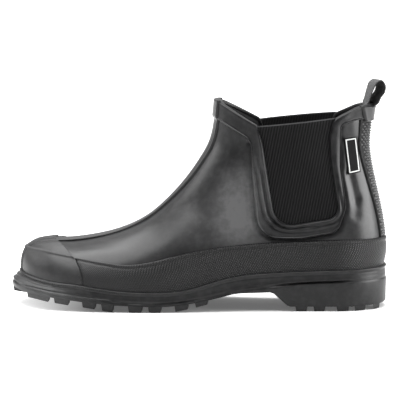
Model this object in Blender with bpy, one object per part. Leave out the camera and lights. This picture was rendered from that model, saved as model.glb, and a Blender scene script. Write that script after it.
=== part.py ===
"""Left rubber ankle boot with elastic side gores.

The toe points to -X, the outer side of the foot to -Y, and +Z is up. The sole stands on z = 0.
Sizes are in millimetres until a mesh is made, where MM turns them into metres.
"""
import math

import bmesh
import bpy
import numpy as np

MM = 0.001
BOOT_NAME = "rubber_ankle_boot"

# Thicknesses and clearances
GAP = 0.3
WALL = 2.2
FOXING_THICK = 2.0
CAP_THICK = 1.8
CAP_LOW_EXTRA = 0.7
CAP_STEP_RISE = 3.0
STRIP_THICK = 1.2
BINDING_THICK = 1.7
BINDING_LIP = 1.0
GORE_THICK = 1.6
HEEL_STRIP_THICK = 1.2
TAB_THICK = 3.2
LABEL_THICK = 0.7
INSOLE_THICK = 3.0
INSOLE_INSET = 3.3

# Mesh density of the last
AROUND = 48
RINGS = 17
RING_CROWDING = 1.45
PROFILE_SAMPLES = 1200
ANGLE_STEP = 0.05
RISE_STEP = 0.003
ARC_STEP = math.radians(18)

# Rounding of the last: where the toe starts to round in plan, and how full each rounding is
TOE_ROUND_X = -78.0
TOE_FULLNESS = 2.3
TOP_FULLNESS = 2.2
SHAFT_FROM_Z = 45.0
SHAFT_FULL_Z = 135.0
TOE_AHEAD = 40.0

# Pull loop of webbing
LOOP_WIDTH = 12.0
LOOP_THICK = 1.5
LOOP_TWIST = math.radians(18)
LOOP_TWIST_FROM_Z = 157.0
LOOP_TWIST_RISE = 14.0
LOOP_STATIONS = 22

# Tread: lugs along both edges of the forefoot and the heel, with diamonds between them
LUG_REACH = 17.0
LUG_EDGE = 2.4
LUG_TOE_EDGE = 4.0
LUG_TOE_SHARE = 0.7
LUG_TAPER = 0.8
LUG_ROOT = 1.5
FOREFOOT_PITCH = 35.6
HEEL_PITCH = 31.4
DIAMOND_LONG = 9.0
DIAMOND_WIDE = 13.0

# Strips
STRIP_HALF = 12.5
STRIP_STRAIGHT_X = -40.0
STRIP_STRAIGHT_RUN = 50.0
TAB_LOW_HALF = 11.5
TAB_TOP_HALF = 15.0
TAB_LOW_Z = 144.0
TAB_TOP_Z = 156.4


def table(columns, *rows):
    """Named columns of a short table, one row for each section."""
    return dict(zip(columns.split(), np.array(rows, dtype=float).T))


# Front profile of the bare upper, from the toe along the vamp up to above the collar.
# round is how deep below this line the section reaches its full width.
FRONT = table(
    "x z round",
    (-135.8, 29.0, 24),
    (-135.9, 33.5, 24),
    (-134.8, 39.5, 24),
    (-131.5, 44.5, 24),
    (-126.0, 47.8, 24),
    (-116.0, 49.3, 25),
    (-98.0, 50.1, 31),
    (-80.0, 52.7, 36),
    (-60.0, 58.2, 43),
    (-40.0, 68.3, 50),
    (-20.0, 86.1, 54),
    (0.0, 111.7, 54),
    (8.5, 127.0, 52),
    (12.2, 143.0, 50),
    (13.4, 154.0, 50),
    (15.7, 176.0, 50),
)
TOE_TOP_ROW = 5

# Back profile of the bare upper; round and fullness shape the heel in plan.
BACK = table(
    "z x round fullness",
    (32.5, 141.0, 37, 2.0),
    (41.0, 142.6, 37, 2.0),
    (58.0, 142.2, 38, 2.0),
    (78.0, 139.0, 40, 2.0),
    (95.0, 135.2, 43, 1.9),
    (112.0, 131.7, 47, 1.8),
    (125.0, 130.1, 51, 1.75),
    (142.0, 131.3, 54, 1.7),
    (172.0, 135.6, 56, 1.7),
)

# Plan of the last at the feather: its centre line and half widths to the outer and inner side.
PLAN = table(
    "x centre outer inner",
    (-140, 4.0, 45.5, 42.5),
    (-110, 3.6, 48.0, 43.0),
    (-85, 3.2, 50.0, 44.0),
    (-55, 2.6, 51.8, 46.0),
    (-30, 2.2, 51.2, 44.4),
    (0, 1.6, 46.6, 39.0),
    (30, 0.8, 41.0, 34.5),
    (60, 0.0, 36.5, 32.5),
    (90, 0.0, 34.5, 33.0),
    (120, 0.0, 34.0, 34.0),
    (145, 0.0, 34.0, 34.0),
)

# Half width of the shaft at the collar
SHAFT = table(
    "x half",
    (-10, 30.0),
    (40, 33.5),
    (70, 35.5),
    (100, 33.0),
    (125, 29.0),
    (145, 27.0),
)

# Heights of the sole along the foot: top under the upper, groove line of the side,
# tread base between the lugs, and the ground side of the lugs.
SOLE = table(
    "x top line base ground",
    (-146, 28.0, 18.6, 13.8, 10.0),
    (-125, 23.6, 16.2, 11.6, 7.8),
    (-110, 21.8, 14.1, 9.9, 6.0),
    (-92, 20.7, 12.2, 8.0, 3.9),
    (-76, 18.3, 10.2, 6.5, 1.9),
    (-65, 16.9, 9.0, 5.4, 0.0),
    (-44, 15.5, 7.4, 4.8, 0.0),
    (-20, 15.7, 7.4, 5.0, 0.0),
    (-6, 17.4, 8.9, 6.4, 2.4),
    (9, 21.6, 11.7, 9.2, 6.0),
    (18, 24.4, 13.7, 12.1, 12.1),
    (33, 27.5, 17.3, 14.3, 14.3),
    (58, 29.7, 19.8, 14.8, 14.8),
    (70.5, 30.3, 21.2, 3.7, 0.0),
    (100, 31.4, 23.0, 3.7, 0.0),
    (146, 32.6, 23.8, 3.7, 0.0),
)
BREAST_X = (58.0, 70.5)
SOLE_LEVELS = ("top", "line", "base")

# Side of the sole from its top edge down: level it belongs to, height from that level,
# distance out from the upper, and how much further out at the toe.
SOLE_EDGE = table(
    "level height out toe",
    (0, 0.0, 3.4, 0.4),
    (0, -0.8, 4.3, 0.6),
    (0, -2.2, 4.3, 0.8),
    (0, -2.9, 3.4, 1.4),
    (1, 0.7, 3.6, 5.6),
    (1, 0.1, 2.5, 5.6),
    (1, -0.6, 2.5, 5.6),
    (1, -1.2, 4.2, 6.0),
    (2, 0.0, 3.2, 6.2),
)
TOE_OUT_FROM_X = -92.0
TOE_OUT_FULL_X = -134.0
SOLE_STATIONS = 28

# Corners of the outlines in the side view: x, z and the corner's radius.
GORE_CUT = (
    (44.8, 141.9, 4.0),
    (49.4, 127.9, 40.0),
    (53.4, 101.4, 60.0),
    (59.9, 63.2, 15.0),
    (110.3, 71.5, 9.0),
    (103.2, 117.0, 50.0),
    (102.4, 135.0, 20.0),
    (105.4, 146.3, 6.0),
)
COLLAR_FRONT_CUT = ((-20.0, 200.0, 0.0), (-20.0, 177.9, 0.0))
COLLAR_BACK_CUT = ((124.0, 155.2, 25.0), (160.0, 158.4, 0.0), (160.0, 200.0, 0.0))
GORE_TOP = ((44.8, 141.7), (105.4, 148.0))
BINDING_OUTER = (
    (-20.0, 210.0, 0.0),
    (-20.0, 165.4, 0.0),
    (41.4, 130.5, 9.0),
    (42.4, 105.0, 60.0),
    (46.4, 56.4, 22.5),
    (80.0, 55.8, 60.0),
    (108.0, 60.6, 11.0),
    (114.2, 80.0, 16.0),
    (109.6, 108.0, 50.0),
    (109.5, 142.6, 5.0),
    (121.0, 145.4, 30.0),
    (160.0, 148.4, 0.0),
    (160.0, 210.0, 0.0),
)
FOXING_TOP = table(
    "x z",
    (-150, 43.4),
    (-134, 42.8),
    (-118, 41.7),
    (-101, 39.6),
    (-86, 38.1),
    (-74, 36.9),
    (-52, 35.6),
    (-35, 38.1),
    (-20, 42.0),
    (3, 47.3),
    (41, 51.9),
    (79, 53.9),
    (120, 55.0),
    (160, 54.0),
)
CAP_EDGE = (
    (-115.5, 62.0),
    (-114.0, 52.4),
    (-111.4, 49.2),
    (-106.0, 46.8),
    (-101.7, 44.6),
    (-98.1, 42.0),
    (-95.1, 39.8),
    (-92.4, 37.2),
    (-89.3, 31.8),
    (-87.5, 25.3),
    (-86.2, 8.0),
)
LABEL = ((111.8, 132.0, 1.0), (121.4, 132.9, 1.0), (124.7, 105.6, 1.0), (115.3, 104.2, 1.0))
HEEL_STRIP_HALF = table("z half", (45, 12.5), (70, 13.0), (100, 13.6), (125, 14.2), (160, 14.2))
LOOP_PATH = table(
    "x z",
    (125.2, 138.0),
    (126.2, 147.0),
    (127.2, 155.0),
    (128.4, 161.5),
    (130.6, 168.5),
    (133.6, 174.0),
    (137.4, 175.0),
    (140.7, 171.0),
    (141.0, 165.4),
    (138.4, 160.8),
    (135.6, 158.3),
)

parts = bpy.data.collections.new(BOOT_NAME)
cutters = bpy.data.collections.new("cutters")


def clear_scene():
    for item in list(bpy.data.objects):
        bpy.data.objects.remove(item, do_unlink=True)
    for group in (parts, cutters):
        bpy.context.scene.collection.children.link(group)


def through(at, values, wanted):
    """Smooth curve through the rows of a table, level beyond its ends."""
    wanted = np.clip(wanted, at[0], at[-1])
    step = np.diff(at)
    rise = np.diff(values) / step
    tilt = np.empty(len(at))
    tilt[0] = rise[0]
    tilt[-1] = rise[-1]
    tilt[1:-1] = (rise[:-1] * step[1:] + rise[1:] * step[:-1]) / (step[1:] + step[:-1])
    row = np.clip(np.searchsorted(at, wanted, side="right") - 1, 0, len(step) - 1)
    t = (wanted - at[row]) / step[row]
    start = values[row] * (1 + 2 * t) + step[row] * tilt[row] * t
    end = values[row + 1] * (3 - 2 * t) + step[row] * tilt[row + 1] * (t - 1)
    return start * (1 - t) ** 2 + end * t ** 2


def ease(t):
    """Soft step from 0 to 1."""
    t = np.clip(t, 0, 1)
    return t * t * (3 - 2 * t)


def run_length(x, z):
    return np.concatenate(([0.0], np.cumsum(np.hypot(np.diff(x), np.diff(z)))))


# The last: an outer surface for the bare upper, worked out from the profile and plan tables

def sole_height(level, x):
    """Height of one of the sole's levels; the heel breast keeps its corners."""
    if level in ("base", "ground"):
        return np.interp(x, SOLE["x"], SOLE[level])
    return through(SOLE["x"], SOLE[level], x)


def feather(x):
    return sole_height("top", x) + GAP


# Both profiles start on the feather line
FRONT["z"][0] = feather(FRONT["x"][0])
BACK["z"][0] = feather(BACK["x"][0])
FRONT_RUN = run_length(FRONT["x"], FRONT["z"])


def front_at(share):
    run = share * FRONT_RUN[-1]
    return through(FRONT_RUN, FRONT["x"], run), through(FRONT_RUN, FRONT["z"], run)


def crest_line():
    """The front profile from the toe's top onwards, drawn out level ahead of the toe."""
    run = np.linspace(FRONT_RUN[TOE_TOP_ROW], FRONT_RUN[-1], PROFILE_SAMPLES)
    ahead = np.linspace(-TOE_AHEAD, 0, PROFILE_SAMPLES // 8)[:-1]
    x = np.concatenate((FRONT["x"][TOE_TOP_ROW] + ahead, through(FRONT_RUN, FRONT["x"], run)))
    z = np.concatenate((FRONT["z"][TOE_TOP_ROW] + 0 * ahead, through(FRONT_RUN, FRONT["z"], run)))
    reach = np.concatenate((FRONT["round"][TOE_TOP_ROW] + 0 * ahead,
                            through(FRONT_RUN, FRONT["round"], run)))
    along_x = np.gradient(x)
    along_z = np.gradient(z)
    size = np.hypot(along_x, along_z)
    return x, z, reach, along_z / size, -along_x / size


CREST_X, CREST_Z, CREST_REACH, CREST_IN_X, CREST_IN_Z = crest_line()
TOE_RUN = np.linspace(0, FRONT_RUN[TOE_TOP_ROW], PROFILE_SAMPLES)
TOE_FRONT_X = through(FRONT_RUN, FRONT["x"], TOE_RUN)
TOE_FRONT_Z = through(FRONT_RUN, FRONT["z"], TOE_RUN)


def side_of_last(x, z, side):
    """Y of the last at a point of the side view; side is -1 outside and 1 inside the foot."""
    rise = ease((z - SHAFT_FROM_Z) / (SHAFT_FULL_Z - SHAFT_FROM_Z))
    foot = np.where(side < 0, through(PLAN["x"], PLAN["outer"], x), through(PLAN["x"], PLAN["inner"], x))
    width = foot + (through(SHAFT["x"], SHAFT["half"], x) - foot) * rise
    centre = through(PLAN["x"], PLAN["centre"], x) * (1 - rise)
    tip = np.interp(z, TOE_FRONT_Z, TOE_FRONT_X)
    toe = np.clip((TOE_ROUND_X - x) / (TOE_ROUND_X - tip), 0, 1) ** TOE_FULLNESS
    nearest = ((x[..., None] - CREST_X) ** 2 + (z[..., None] - CREST_Z) ** 2).argmin(-1)
    depth = (x - CREST_X[nearest]) * CREST_IN_X[nearest] + (z - CREST_Z[nearest]) * CREST_IN_Z[nearest]
    top = np.clip(1 - depth / CREST_REACH[nearest], 0, 1) ** TOP_FULLNESS
    behind = through(BACK["z"], BACK["x"], z) - x
    heel = np.clip(1 - behind / through(BACK["z"], BACK["round"], z), 0, 1)
    heel = heel ** through(BACK["z"], BACK["fullness"], z)
    return centre, width * np.sqrt((1 - toe) * (1 - top) * (1 - heel))


def last_point(angle, rise):
    """Point of the last: angle 0 is the front, 180 degrees the back; rise goes from feather to top."""
    front_x, front_z = front_at(rise)
    back_z = BACK["z"][0] + (BACK["z"][-1] - BACK["z"][0]) * rise
    back_x = through(BACK["z"], BACK["x"], back_z)
    front_up = front_z - feather(front_x)
    back_up = back_z - feather(back_x)
    share = (1 - np.cos(angle)) / 2
    x = front_x + (back_x - front_x) * share
    z = feather(x) + front_up * (1 - share) + back_up * share
    side = np.where(np.sin(angle) > 0, -1.0, 1.0)
    centre, half = side_of_last(x, z, side)
    on_profile = np.abs(np.sin(angle)) < 1e-9
    y = centre + side * np.where(on_profile, 0, half)
    return np.stack((x, y, z), axis=-1)


def last_normal(angle, rise):
    across = last_point(angle + ANGLE_STEP, rise) - last_point(angle - ANGLE_STEP, rise)
    low = np.clip(rise - RISE_STEP, 0, 1)
    high = np.clip(rise + RISE_STEP, 0, 1)
    upward = last_point(angle, high) - last_point(angle, low)
    normal = np.cross(across, upward)
    normal[..., 2] = np.where(rise == 0, 0, normal[..., 2])
    return normal / np.linalg.norm(normal, axis=-1, keepdims=True)


ANGLE, RISE = np.meshgrid(
    np.arange(AROUND) * 2 * math.pi / AROUND,
    (np.arange(RINGS + 1) / RINGS) ** RING_CROWDING,
)
LAST = last_point(ANGLE, RISE)
LAST_OUT = last_normal(ANGLE, RISE)


# Making meshes

def add_object(name, bm, group):
    bmesh.ops.scale(bm, vec=(MM, MM, MM), verts=bm.verts)
    mesh = bpy.data.meshes.new(name)
    bm.to_mesh(mesh)
    bm.free()
    item = bpy.data.objects.new(name, mesh)
    group.objects.link(item)
    if group is cutters:
        item.hide_render = True
        item.display_type = "WIRE"
    return item


def finish_part(item, colour, roughness):
    """Give a part its own material and smooth shading."""
    material = bpy.data.materials.new(item.name)
    material.use_nodes = True
    shader = material.node_tree.nodes["Principled BSDF"]
    shader.inputs["Base Color"].default_value = (*colour, 1.0)
    shader.inputs["Roughness"].default_value = roughness
    shader.inputs["Metallic"].default_value = 0.0
    item.data.materials.append(material)
    item.data.shade_smooth()
    item.data.set_sharp_from_angle(angle=math.radians(35))
    return item


RUBBER = ((0.028, 0.028, 0.029), 0.42)
TREAD_RUBBER = ((0.024, 0.024, 0.025), 0.55)
ELASTIC = ((0.010, 0.010, 0.011), 0.85)
WEBBING = ((0.020, 0.020, 0.021), 0.80)
FABRIC = ((0.060, 0.060, 0.062), 0.90)


def close_rings(bm, rings):
    """Triangles between neighbouring rings of vertices; each ring is a closed loop."""
    count = len(rings[0])
    for lower, upper in zip(rings[:-1], rings[1:]):
        for i in range(count):
            j = (i + 1) % count
            if i < count // 2:
                bm.faces.new((lower[i], lower[j], upper[i]))
                bm.faces.new((lower[j], upper[j], upper[i]))
            else:
                bm.faces.new((lower[i], upper[j], upper[i]))
                bm.faces.new((lower[i], lower[j], upper[j]))


def shell(name, inner, outer, first=0, last=RINGS, group=None):
    """A closed tube between two offsets of the last, from one ring of its grid to another."""
    bm = bmesh.new()

    def ring(row, offset):
        offset = np.broadcast_to(offset, LAST.shape[:2])[row][:, None]
        points = LAST[row] + LAST_OUT[row] * offset
        if row == 0:
            points[:, 2] = feather(points[:, 0])
        return [bm.verts.new(point) for point in points]

    outside = [ring(row, outer) for row in range(first, last + 1)]
    inside = [ring(row, inner) for row in range(first, last + 1)]
    close_rings(bm, outside)
    close_rings(bm, inside)
    close_rings(bm, [outside[0], inside[0]])
    close_rings(bm, [outside[-1], inside[-1]])
    bmesh.ops.recalc_face_normals(bm, faces=bm.faces)
    return add_object(name, bm, group or parts)


def rounded(corners):
    """Closed outline whose corners are arcs of the given radii."""
    points = []
    count = len(corners)
    for i in range(count):
        corner = np.array(corners[i][:2])
        radius = corners[i][2]
        back = np.array(corners[i - 1][:2]) - corner
        ahead = np.array(corners[(i + 1) % count][:2]) - corner
        if radius == 0:
            points.append(corner)
            continue
        room = 0.48 * min(np.linalg.norm(back), np.linalg.norm(ahead))
        back /= np.linalg.norm(back)
        ahead /= np.linalg.norm(ahead)
        half = math.acos(np.clip(back @ ahead, -1, 1)) / 2
        cut = min(radius / math.tan(half), room)
        radius = cut * math.tan(half)
        middle = corner + (back + ahead) / np.linalg.norm(back + ahead) * radius / math.sin(half)
        start = corner + back * cut - middle
        end = corner + ahead * cut - middle
        first = math.atan2(start[1], start[0])
        turn = math.remainder(math.atan2(end[1], end[0]) - first, 2 * math.pi)
        steps = max(1, math.ceil(abs(turn) / ARC_STEP))
        for k in range(steps + 1):
            angle = first + turn * k / steps
            points.append(middle + radius * np.array((math.cos(angle), math.sin(angle))))
    return points


def grown(corners, distance):
    """The same corners with every side moved outwards; a negative distance shrinks the outline."""
    spots = np.array([corner[:2] for corner in corners])
    ahead = np.roll(spots, -1, axis=0)
    turning = np.sign(np.sum(spots[:, 0] * ahead[:, 1] - ahead[:, 0] * spots[:, 1]))
    along = (ahead - spots) / np.linalg.norm(ahead - spots, axis=1)[:, None]
    out = np.stack((along[:, 1], -along[:, 0]), axis=1) * turning
    before = np.roll(out, 1, axis=0)
    shift = (out + before) / (1 + np.sum(out * before, axis=1))[:, None] * distance
    return [(*spot, corner[2]) for spot, corner in zip(spots + shift, corners)]


PRISM_FRAMES = {
    "X": lambda a, b, along: (along, a, b),
    "Y": lambda a, b, along: (a, along, b),
    "Z": lambda a, b, along: (a, b, along),
}


def prism(name, outline, axis, low, high):
    """A cutter: a flat outline in the two other axes, pushed along an axis from low to high."""
    place = PRISM_FRAMES[axis]
    bm = bmesh.new()
    face = bm.faces.new([bm.verts.new(place(a, b, low)) for a, b in outline])
    pushed = bmesh.ops.extrude_face_region(bm, geom=[face])["geom"]
    tops = [item for item in pushed if isinstance(item, bmesh.types.BMVert)]
    bmesh.ops.translate(bm, vec=place(0, 0, high - low), verts=tops)
    bmesh.ops.recalc_face_normals(bm, faces=bm.faces)
    return add_object(name, bm, cutters)


def boolean(item, operation, cutter):
    modifier = item.modifiers.new(f"{operation.lower()} {cutter.name}", "BOOLEAN")
    modifier.operation = operation
    modifier.solver = "EXACT"
    modifier.object = cutter
    return item


# How far cutters reach: to each side, behind the boot and above it
SIDE_REACH = 90.0
BEHIND_X = (90.0, 170.0)
ABOVE_Z = 210.0


def side_prism(name, outline, sides=(-1, 1)):
    """Cutter for outlines drawn in the side view, through both sides or one of them."""
    low = -SIDE_REACH if -1 in sides else 0.0
    high = SIDE_REACH if 1 in sides else 0.0
    return prism(name, outline, "Y", low, high)


# Outlines shared by neighbouring pieces

OPENING = COLLAR_FRONT_CUT + GORE_CUT + COLLAR_BACK_CUT


def foxing_area(lift):
    """Area below the foxing's top line, moved up by lift."""
    x = np.linspace(-150, 160, 40)
    z = through(FOXING_TOP["x"], FOXING_TOP["z"], x) + lift
    return list(zip(x, z)) + [(160.0, -20.0), (-150.0, -20.0)]


def cap_area(shift):
    """Area ahead of the toe cap's back edge, moved back by shift."""
    edge = [(x + shift, z) for x, z in CAP_EDGE]
    return edge + [(-160.0, 8.0), (-160.0, 60.0)]


def make_upper():
    upper = shell("upper", -WALL, 0.0)
    boolean(upper, "DIFFERENCE", side_prism("collar and gore openings", rounded(OPENING)))
    return finish_part(upper, *RUBBER)


def make_foxing():
    foxing = shell("foxing", GAP, GAP + FOXING_THICK, last=10)
    boolean(foxing, "INTERSECT", side_prism("below foxing line", foxing_area(0.0)))
    boolean(foxing, "DIFFERENCE", side_prism("room for cap", cap_area(GAP)))
    return finish_part(foxing, *RUBBER)


def make_toe_cap():
    line = through(FOXING_TOP["x"], FOXING_TOP["z"], LAST[..., 0])
    low = ease((line - LAST[..., 2]) / CAP_STEP_RISE + 0.5)
    cap = shell("toe_cap", GAP, GAP + CAP_THICK + CAP_LOW_EXTRA * low, last=10)
    boolean(cap, "INTERSECT", side_prism("ahead of cap edge", cap_area(0.0)))
    return finish_part(cap, *RUBBER)


def make_front_strip():
    strip = shell("front_strip", GAP, GAP + STRIP_THICK, first=3)
    x = np.linspace(-130, 40, 18)
    centre = through(PLAN["x"], PLAN["centre"], x) * (1 - ease((x - STRIP_STRAIGHT_X) / STRIP_STRAIGHT_RUN))
    near = [(a, b - STRIP_HALF) for a, b in zip(x, centre)]
    far = [(a, b + STRIP_HALF) for a, b in zip(x[::-1], centre[::-1])]
    boolean(strip, "INTERSECT", prism("front centre line", near + far, "Z", 0.0, ABOVE_Z))
    boolean(strip, "DIFFERENCE", side_prism("room for cap and strip", cap_area(GAP)))
    boolean(strip, "DIFFERENCE", side_prism("room for collar", rounded(grown(BINDING_OUTER, GAP))))
    return finish_part(strip, *RUBBER)


def make_collar_binding():
    binding = shell("collar_binding", GAP, GAP + BINDING_THICK, first=4)
    boolean(binding, "INTERSECT", side_prism("band outline", rounded(BINDING_OUTER)))
    boolean(binding, "DIFFERENCE", side_prism("band inside", rounded(grown(OPENING, -BINDING_LIP))))
    boolean(binding, "DIFFERENCE", prism("room for tab", tab_outline(GAP), "X", *BEHIND_X))
    return finish_part(binding, *RUBBER)


def make_gore(name, side):
    gore = shell(name, -GAP - GORE_THICK, -GAP, first=4)
    corners = [(*GORE_TOP[0], 0.0), *GORE_CUT[1:-1], (*GORE_TOP[1], 0.0)]
    outline = rounded(grown(corners, -GAP))
    boolean(gore, "INTERSECT", side_prism(f"{name} outline", outline, sides=(side,)))
    return finish_part(gore, *ELASTIC)


def tab_outline(growth):
    corners = [
        (-TAB_LOW_HALF, TAB_LOW_Z, 3.0),
        (TAB_LOW_HALF, TAB_LOW_Z, 3.0),
        (TAB_TOP_HALF, TAB_TOP_Z, 1.0),
        (-TAB_TOP_HALF, TAB_TOP_Z, 1.0),
    ]
    if growth:
        corners = grown(corners, growth)
        half = corners[2][0]
        corners[2:] = [(half, TAB_TOP_Z, 0.0), (half, ABOVE_Z, 0.0), (-half, ABOVE_Z, 0.0),
                       (-half, TAB_TOP_Z, 0.0)]
    return rounded(corners)


def make_heel_strip():
    strip = shell("heel_strip", GAP, GAP + HEEL_STRIP_THICK, first=3)
    z = np.linspace(45, 160, 12)
    half = through(HEEL_STRIP_HALF["z"], HEEL_STRIP_HALF["half"], z)
    outline = list(zip(-half, z)) + list(zip(half[::-1], z[::-1]))
    boolean(strip, "INTERSECT", prism("up the back", outline, "X", *BEHIND_X))
    boolean(strip, "DIFFERENCE", side_prism("room for foxing", foxing_area(GAP)))
    boolean(strip, "DIFFERENCE", side_prism("room for band", rounded(grown(BINDING_OUTER, GAP))))
    boolean(strip, "DIFFERENCE", prism("room for tab on strip", tab_outline(GAP), "X", *BEHIND_X))
    return finish_part(strip, *RUBBER)


def make_back_tab():
    tab = shell("back_tab", GAP, GAP + TAB_THICK, first=7)
    boolean(tab, "INTERSECT", prism("tab outline", tab_outline(0.0), "X", *BEHIND_X))
    return finish_part(tab, *RUBBER)


def make_side_label():
    label = shell("side_label", GAP, GAP + LABEL_THICK, first=7)
    boolean(label, "INTERSECT", side_prism("label outline", rounded(LABEL), sides=(-1,)))
    return finish_part(label, *FABRIC)


# Sole

def sole_angles():
    """Angles around the last whose points share their x on both sides, with the heel breast's corners."""
    front = LAST[0, 0, 0]
    back = LAST[0, AROUND // 2, 0]
    plain = np.linspace(0, math.pi, SOLE_STATIONS + 1)
    breast = np.arccos(1 - 2 * (np.array(BREAST_X) - front) / (back - front))
    near = np.abs(plain[:, None] - breast).min(axis=1) < 0.6 * math.pi / SOLE_STATIONS
    half = np.sort(np.concatenate((plain[~near], breast)))
    return np.concatenate((half, 2 * math.pi - half[-2:0:-1]))


SOLE_ANGLE = sole_angles()
SOLE_FOOT = last_point(SOLE_ANGLE, np.zeros(len(SOLE_ANGLE)))
SOLE_OUT = last_normal(SOLE_ANGLE, np.zeros(len(SOLE_ANGLE)))


def sole_outline(out, toe=0.0):
    ahead = ease((TOE_OUT_FROM_X - SOLE_FOOT[:, 0]) / (TOE_OUT_FROM_X - TOE_OUT_FULL_X))
    return SOLE_FOOT[:, :2] + SOLE_OUT[:, :2] * (out + toe * ahead)[:, None]


def slab(bm, outlines):
    """Closed solid from stacked outlines; its two flat ends run straight across the foot."""
    rings = [[bm.verts.new(point) for point in outline] for outline in outlines]
    close_rings(bm, rings)
    count = len(rings[0])
    for ring in (rings[0], rings[-1]):
        bm.faces.new((ring[0], ring[1], ring[-1]))
        for i in range(1, count // 2 - 1):
            bm.faces.new((ring[i], ring[i + 1], ring[count - i - 1], ring[count - i]))
        middle = count // 2
        bm.faces.new((ring[middle - 1], ring[middle], ring[middle + 1]))
    bmesh.ops.recalc_face_normals(bm, faces=bm.faces)


def add_block(bm, top, bottom):
    """A lug: a four-cornered block between a top and a bottom outline."""
    upper = [bm.verts.new(point) for point in top]
    lower = [bm.verts.new(point) for point in bottom]
    bm.faces.new(upper)
    bm.faces.new(lower[::-1])
    for i in range(4):
        j = (i + 1) % 4
        bm.faces.new((upper[i], lower[i], lower[j], upper[j]))


def lug(bm, corners, taper):
    """Block under the tread base; its lower face follows the ground line and is drawn in by taper."""
    spots = np.array(corners)
    middle = spots.mean(axis=0)
    drawn = spots - np.sign(spots - middle) * taper
    top = [(x, y, sole_height("base", x) + LUG_ROOT) for x, y in spots]
    bottom = [(x, y, sole_height("ground", x)) for x, y in drawn]
    add_block(bm, top, bottom)


def edge_lug(bm, start, end, side):
    edge = sole_outline(LUG_EDGE, LUG_TOE_EDGE)
    half = len(edge) // 2 + 1
    line = edge[:half] if side < 0 else np.roll(edge[::-1], 1, axis=0)[:half]
    outer = np.interp((start, end), line[:, 0], line[:, 1])
    reach = np.minimum(LUG_REACH, LUG_TOE_SHARE * np.abs(outer)) * -side
    lug(bm, ((start, outer[0]), (end, outer[1]), (end, outer[1] + reach[1]),
             (start, outer[0] + reach[0])), LUG_TAPER)


def diamond_lug(bm, x, y):
    lug(bm, ((x - DIAMOND_LONG, y), (x, y - DIAMOND_WIDE), (x + DIAMOND_LONG, y),
             (x, y + DIAMOND_WIDE)), LUG_TAPER)


EDGE_LUGS = (
    (-131.8, -113.2),
    (-109.8, -97.5),
    (-87.8, -76.9),
    (-72.8, -63.2),
    (-52.2, -41.0),
    (-36.8, -26.4),
    (-16.6, -5.6),
    (-1.0, 9.4),
    (75.6, 85.2),
    (89.4, 99.0),
    (107.0, 117.2),
    (120.8, 129.8),
    (134.8, 140.6),
)
FOREFOOT_DIAMOND_X = -7.2
HEEL_DIAMOND_X = 87.3
TOE_LUG = ((-145.0, -6.0), (-145.0, 16.0), (-133.0, 18.0), (-133.0, -9.0))


def make_outsole():
    bm = bmesh.new()
    rings = []
    for level, height, out, toe in zip(*SOLE_EDGE.values()):
        flat = sole_outline(out, toe)
        z = sole_height(SOLE_LEVELS[int(level)], flat[:, 0]) + height
        rings.append(np.column_stack((flat, z)))
    slab(bm, rings)
    outsole = add_object("outsole", bm, parts)

    bm = bmesh.new()
    for start, end in EDGE_LUGS:
        for side in (-1, 1):
            edge_lug(bm, start, end, side)
    for pair in range(4):
        x = FOREFOOT_DIAMOND_X - pair * FOREFOOT_PITCH
        diamond_lug(bm, x, through(PLAN["x"], PLAN["centre"], x))
    for pair in range(2):
        diamond_lug(bm, HEEL_DIAMOND_X + pair * HEEL_PITCH, 0.0)
    lug(bm, TOE_LUG, LUG_TAPER)
    bmesh.ops.recalc_face_normals(bm, faces=bm.faces)
    boolean(outsole, "UNION", add_object("tread lugs", bm, cutters))
    return finish_part(outsole, *TREAD_RUBBER)


def make_insole():
    bm = bmesh.new()
    flat = sole_outline(-INSOLE_INSET)
    low = feather(flat[:, 0])
    slab(bm, [np.column_stack((flat, low + INSOLE_THICK)), np.column_stack((flat, low))])
    return finish_part(add_object("insole", bm, parts), *FABRIC)


def make_pull_loop():
    """Webbing ribbon that climbs inside the collar, turns over and comes down on the back tab."""
    run = run_length(LOOP_PATH["x"], LOOP_PATH["z"])
    at = np.linspace(0, run[-1], LOOP_STATIONS)
    x = through(run, LOOP_PATH["x"], at)
    z = through(run, LOOP_PATH["z"], at)
    along_x = np.gradient(x, at)
    along_z = np.gradient(z, at)
    size = np.hypot(along_x, along_z)
    bm = bmesh.new()
    rings = []
    for k in range(LOOP_STATIONS):
        twist = LOOP_TWIST * ease((z[k] - LOOP_TWIST_FROM_Z) / LOOP_TWIST_RISE)
        across = np.array((-math.sin(twist), math.cos(twist), 0)) * LOOP_WIDTH / 2
        face = np.array((-along_z[k] / size[k], 0, along_x[k] / size[k])) * LOOP_THICK / 2
        centre = np.array((x[k], 0, z[k]))
        corners = (centre - across - face, centre + across - face,
                   centre + across + face, centre - across + face)
        rings.append([bm.verts.new(point) for point in corners])
    close_rings(bm, rings)
    bm.faces.new(rings[0])
    bm.faces.new(rings[-1][::-1])
    bmesh.ops.recalc_face_normals(bm, faces=bm.faces)
    return finish_part(add_object("pull_loop", bm, parts), *WEBBING)


clear_scene()
make_outsole()
make_insole()
make_upper()
make_foxing()
make_toe_cap()
make_front_strip()
make_collar_binding()
make_gore("gore_lateral", -1)
make_gore("gore_medial", 1)
make_heel_strip()
make_back_tab()
make_side_label()
make_pull_loop()
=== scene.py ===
# %% [markdown]
# Dressing a black rubber ankle boot
#
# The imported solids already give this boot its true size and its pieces. This script puts the visible
# boot over them: the same last, worked out again in fine steps, with the bands, beads, ribs, knurling
# and finishes that the solids leave out. All sizes are in millimetres until a mesh is made.

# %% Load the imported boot
import math

import bmesh
import bpy
import numpy as np
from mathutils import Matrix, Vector, kdtree


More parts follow.
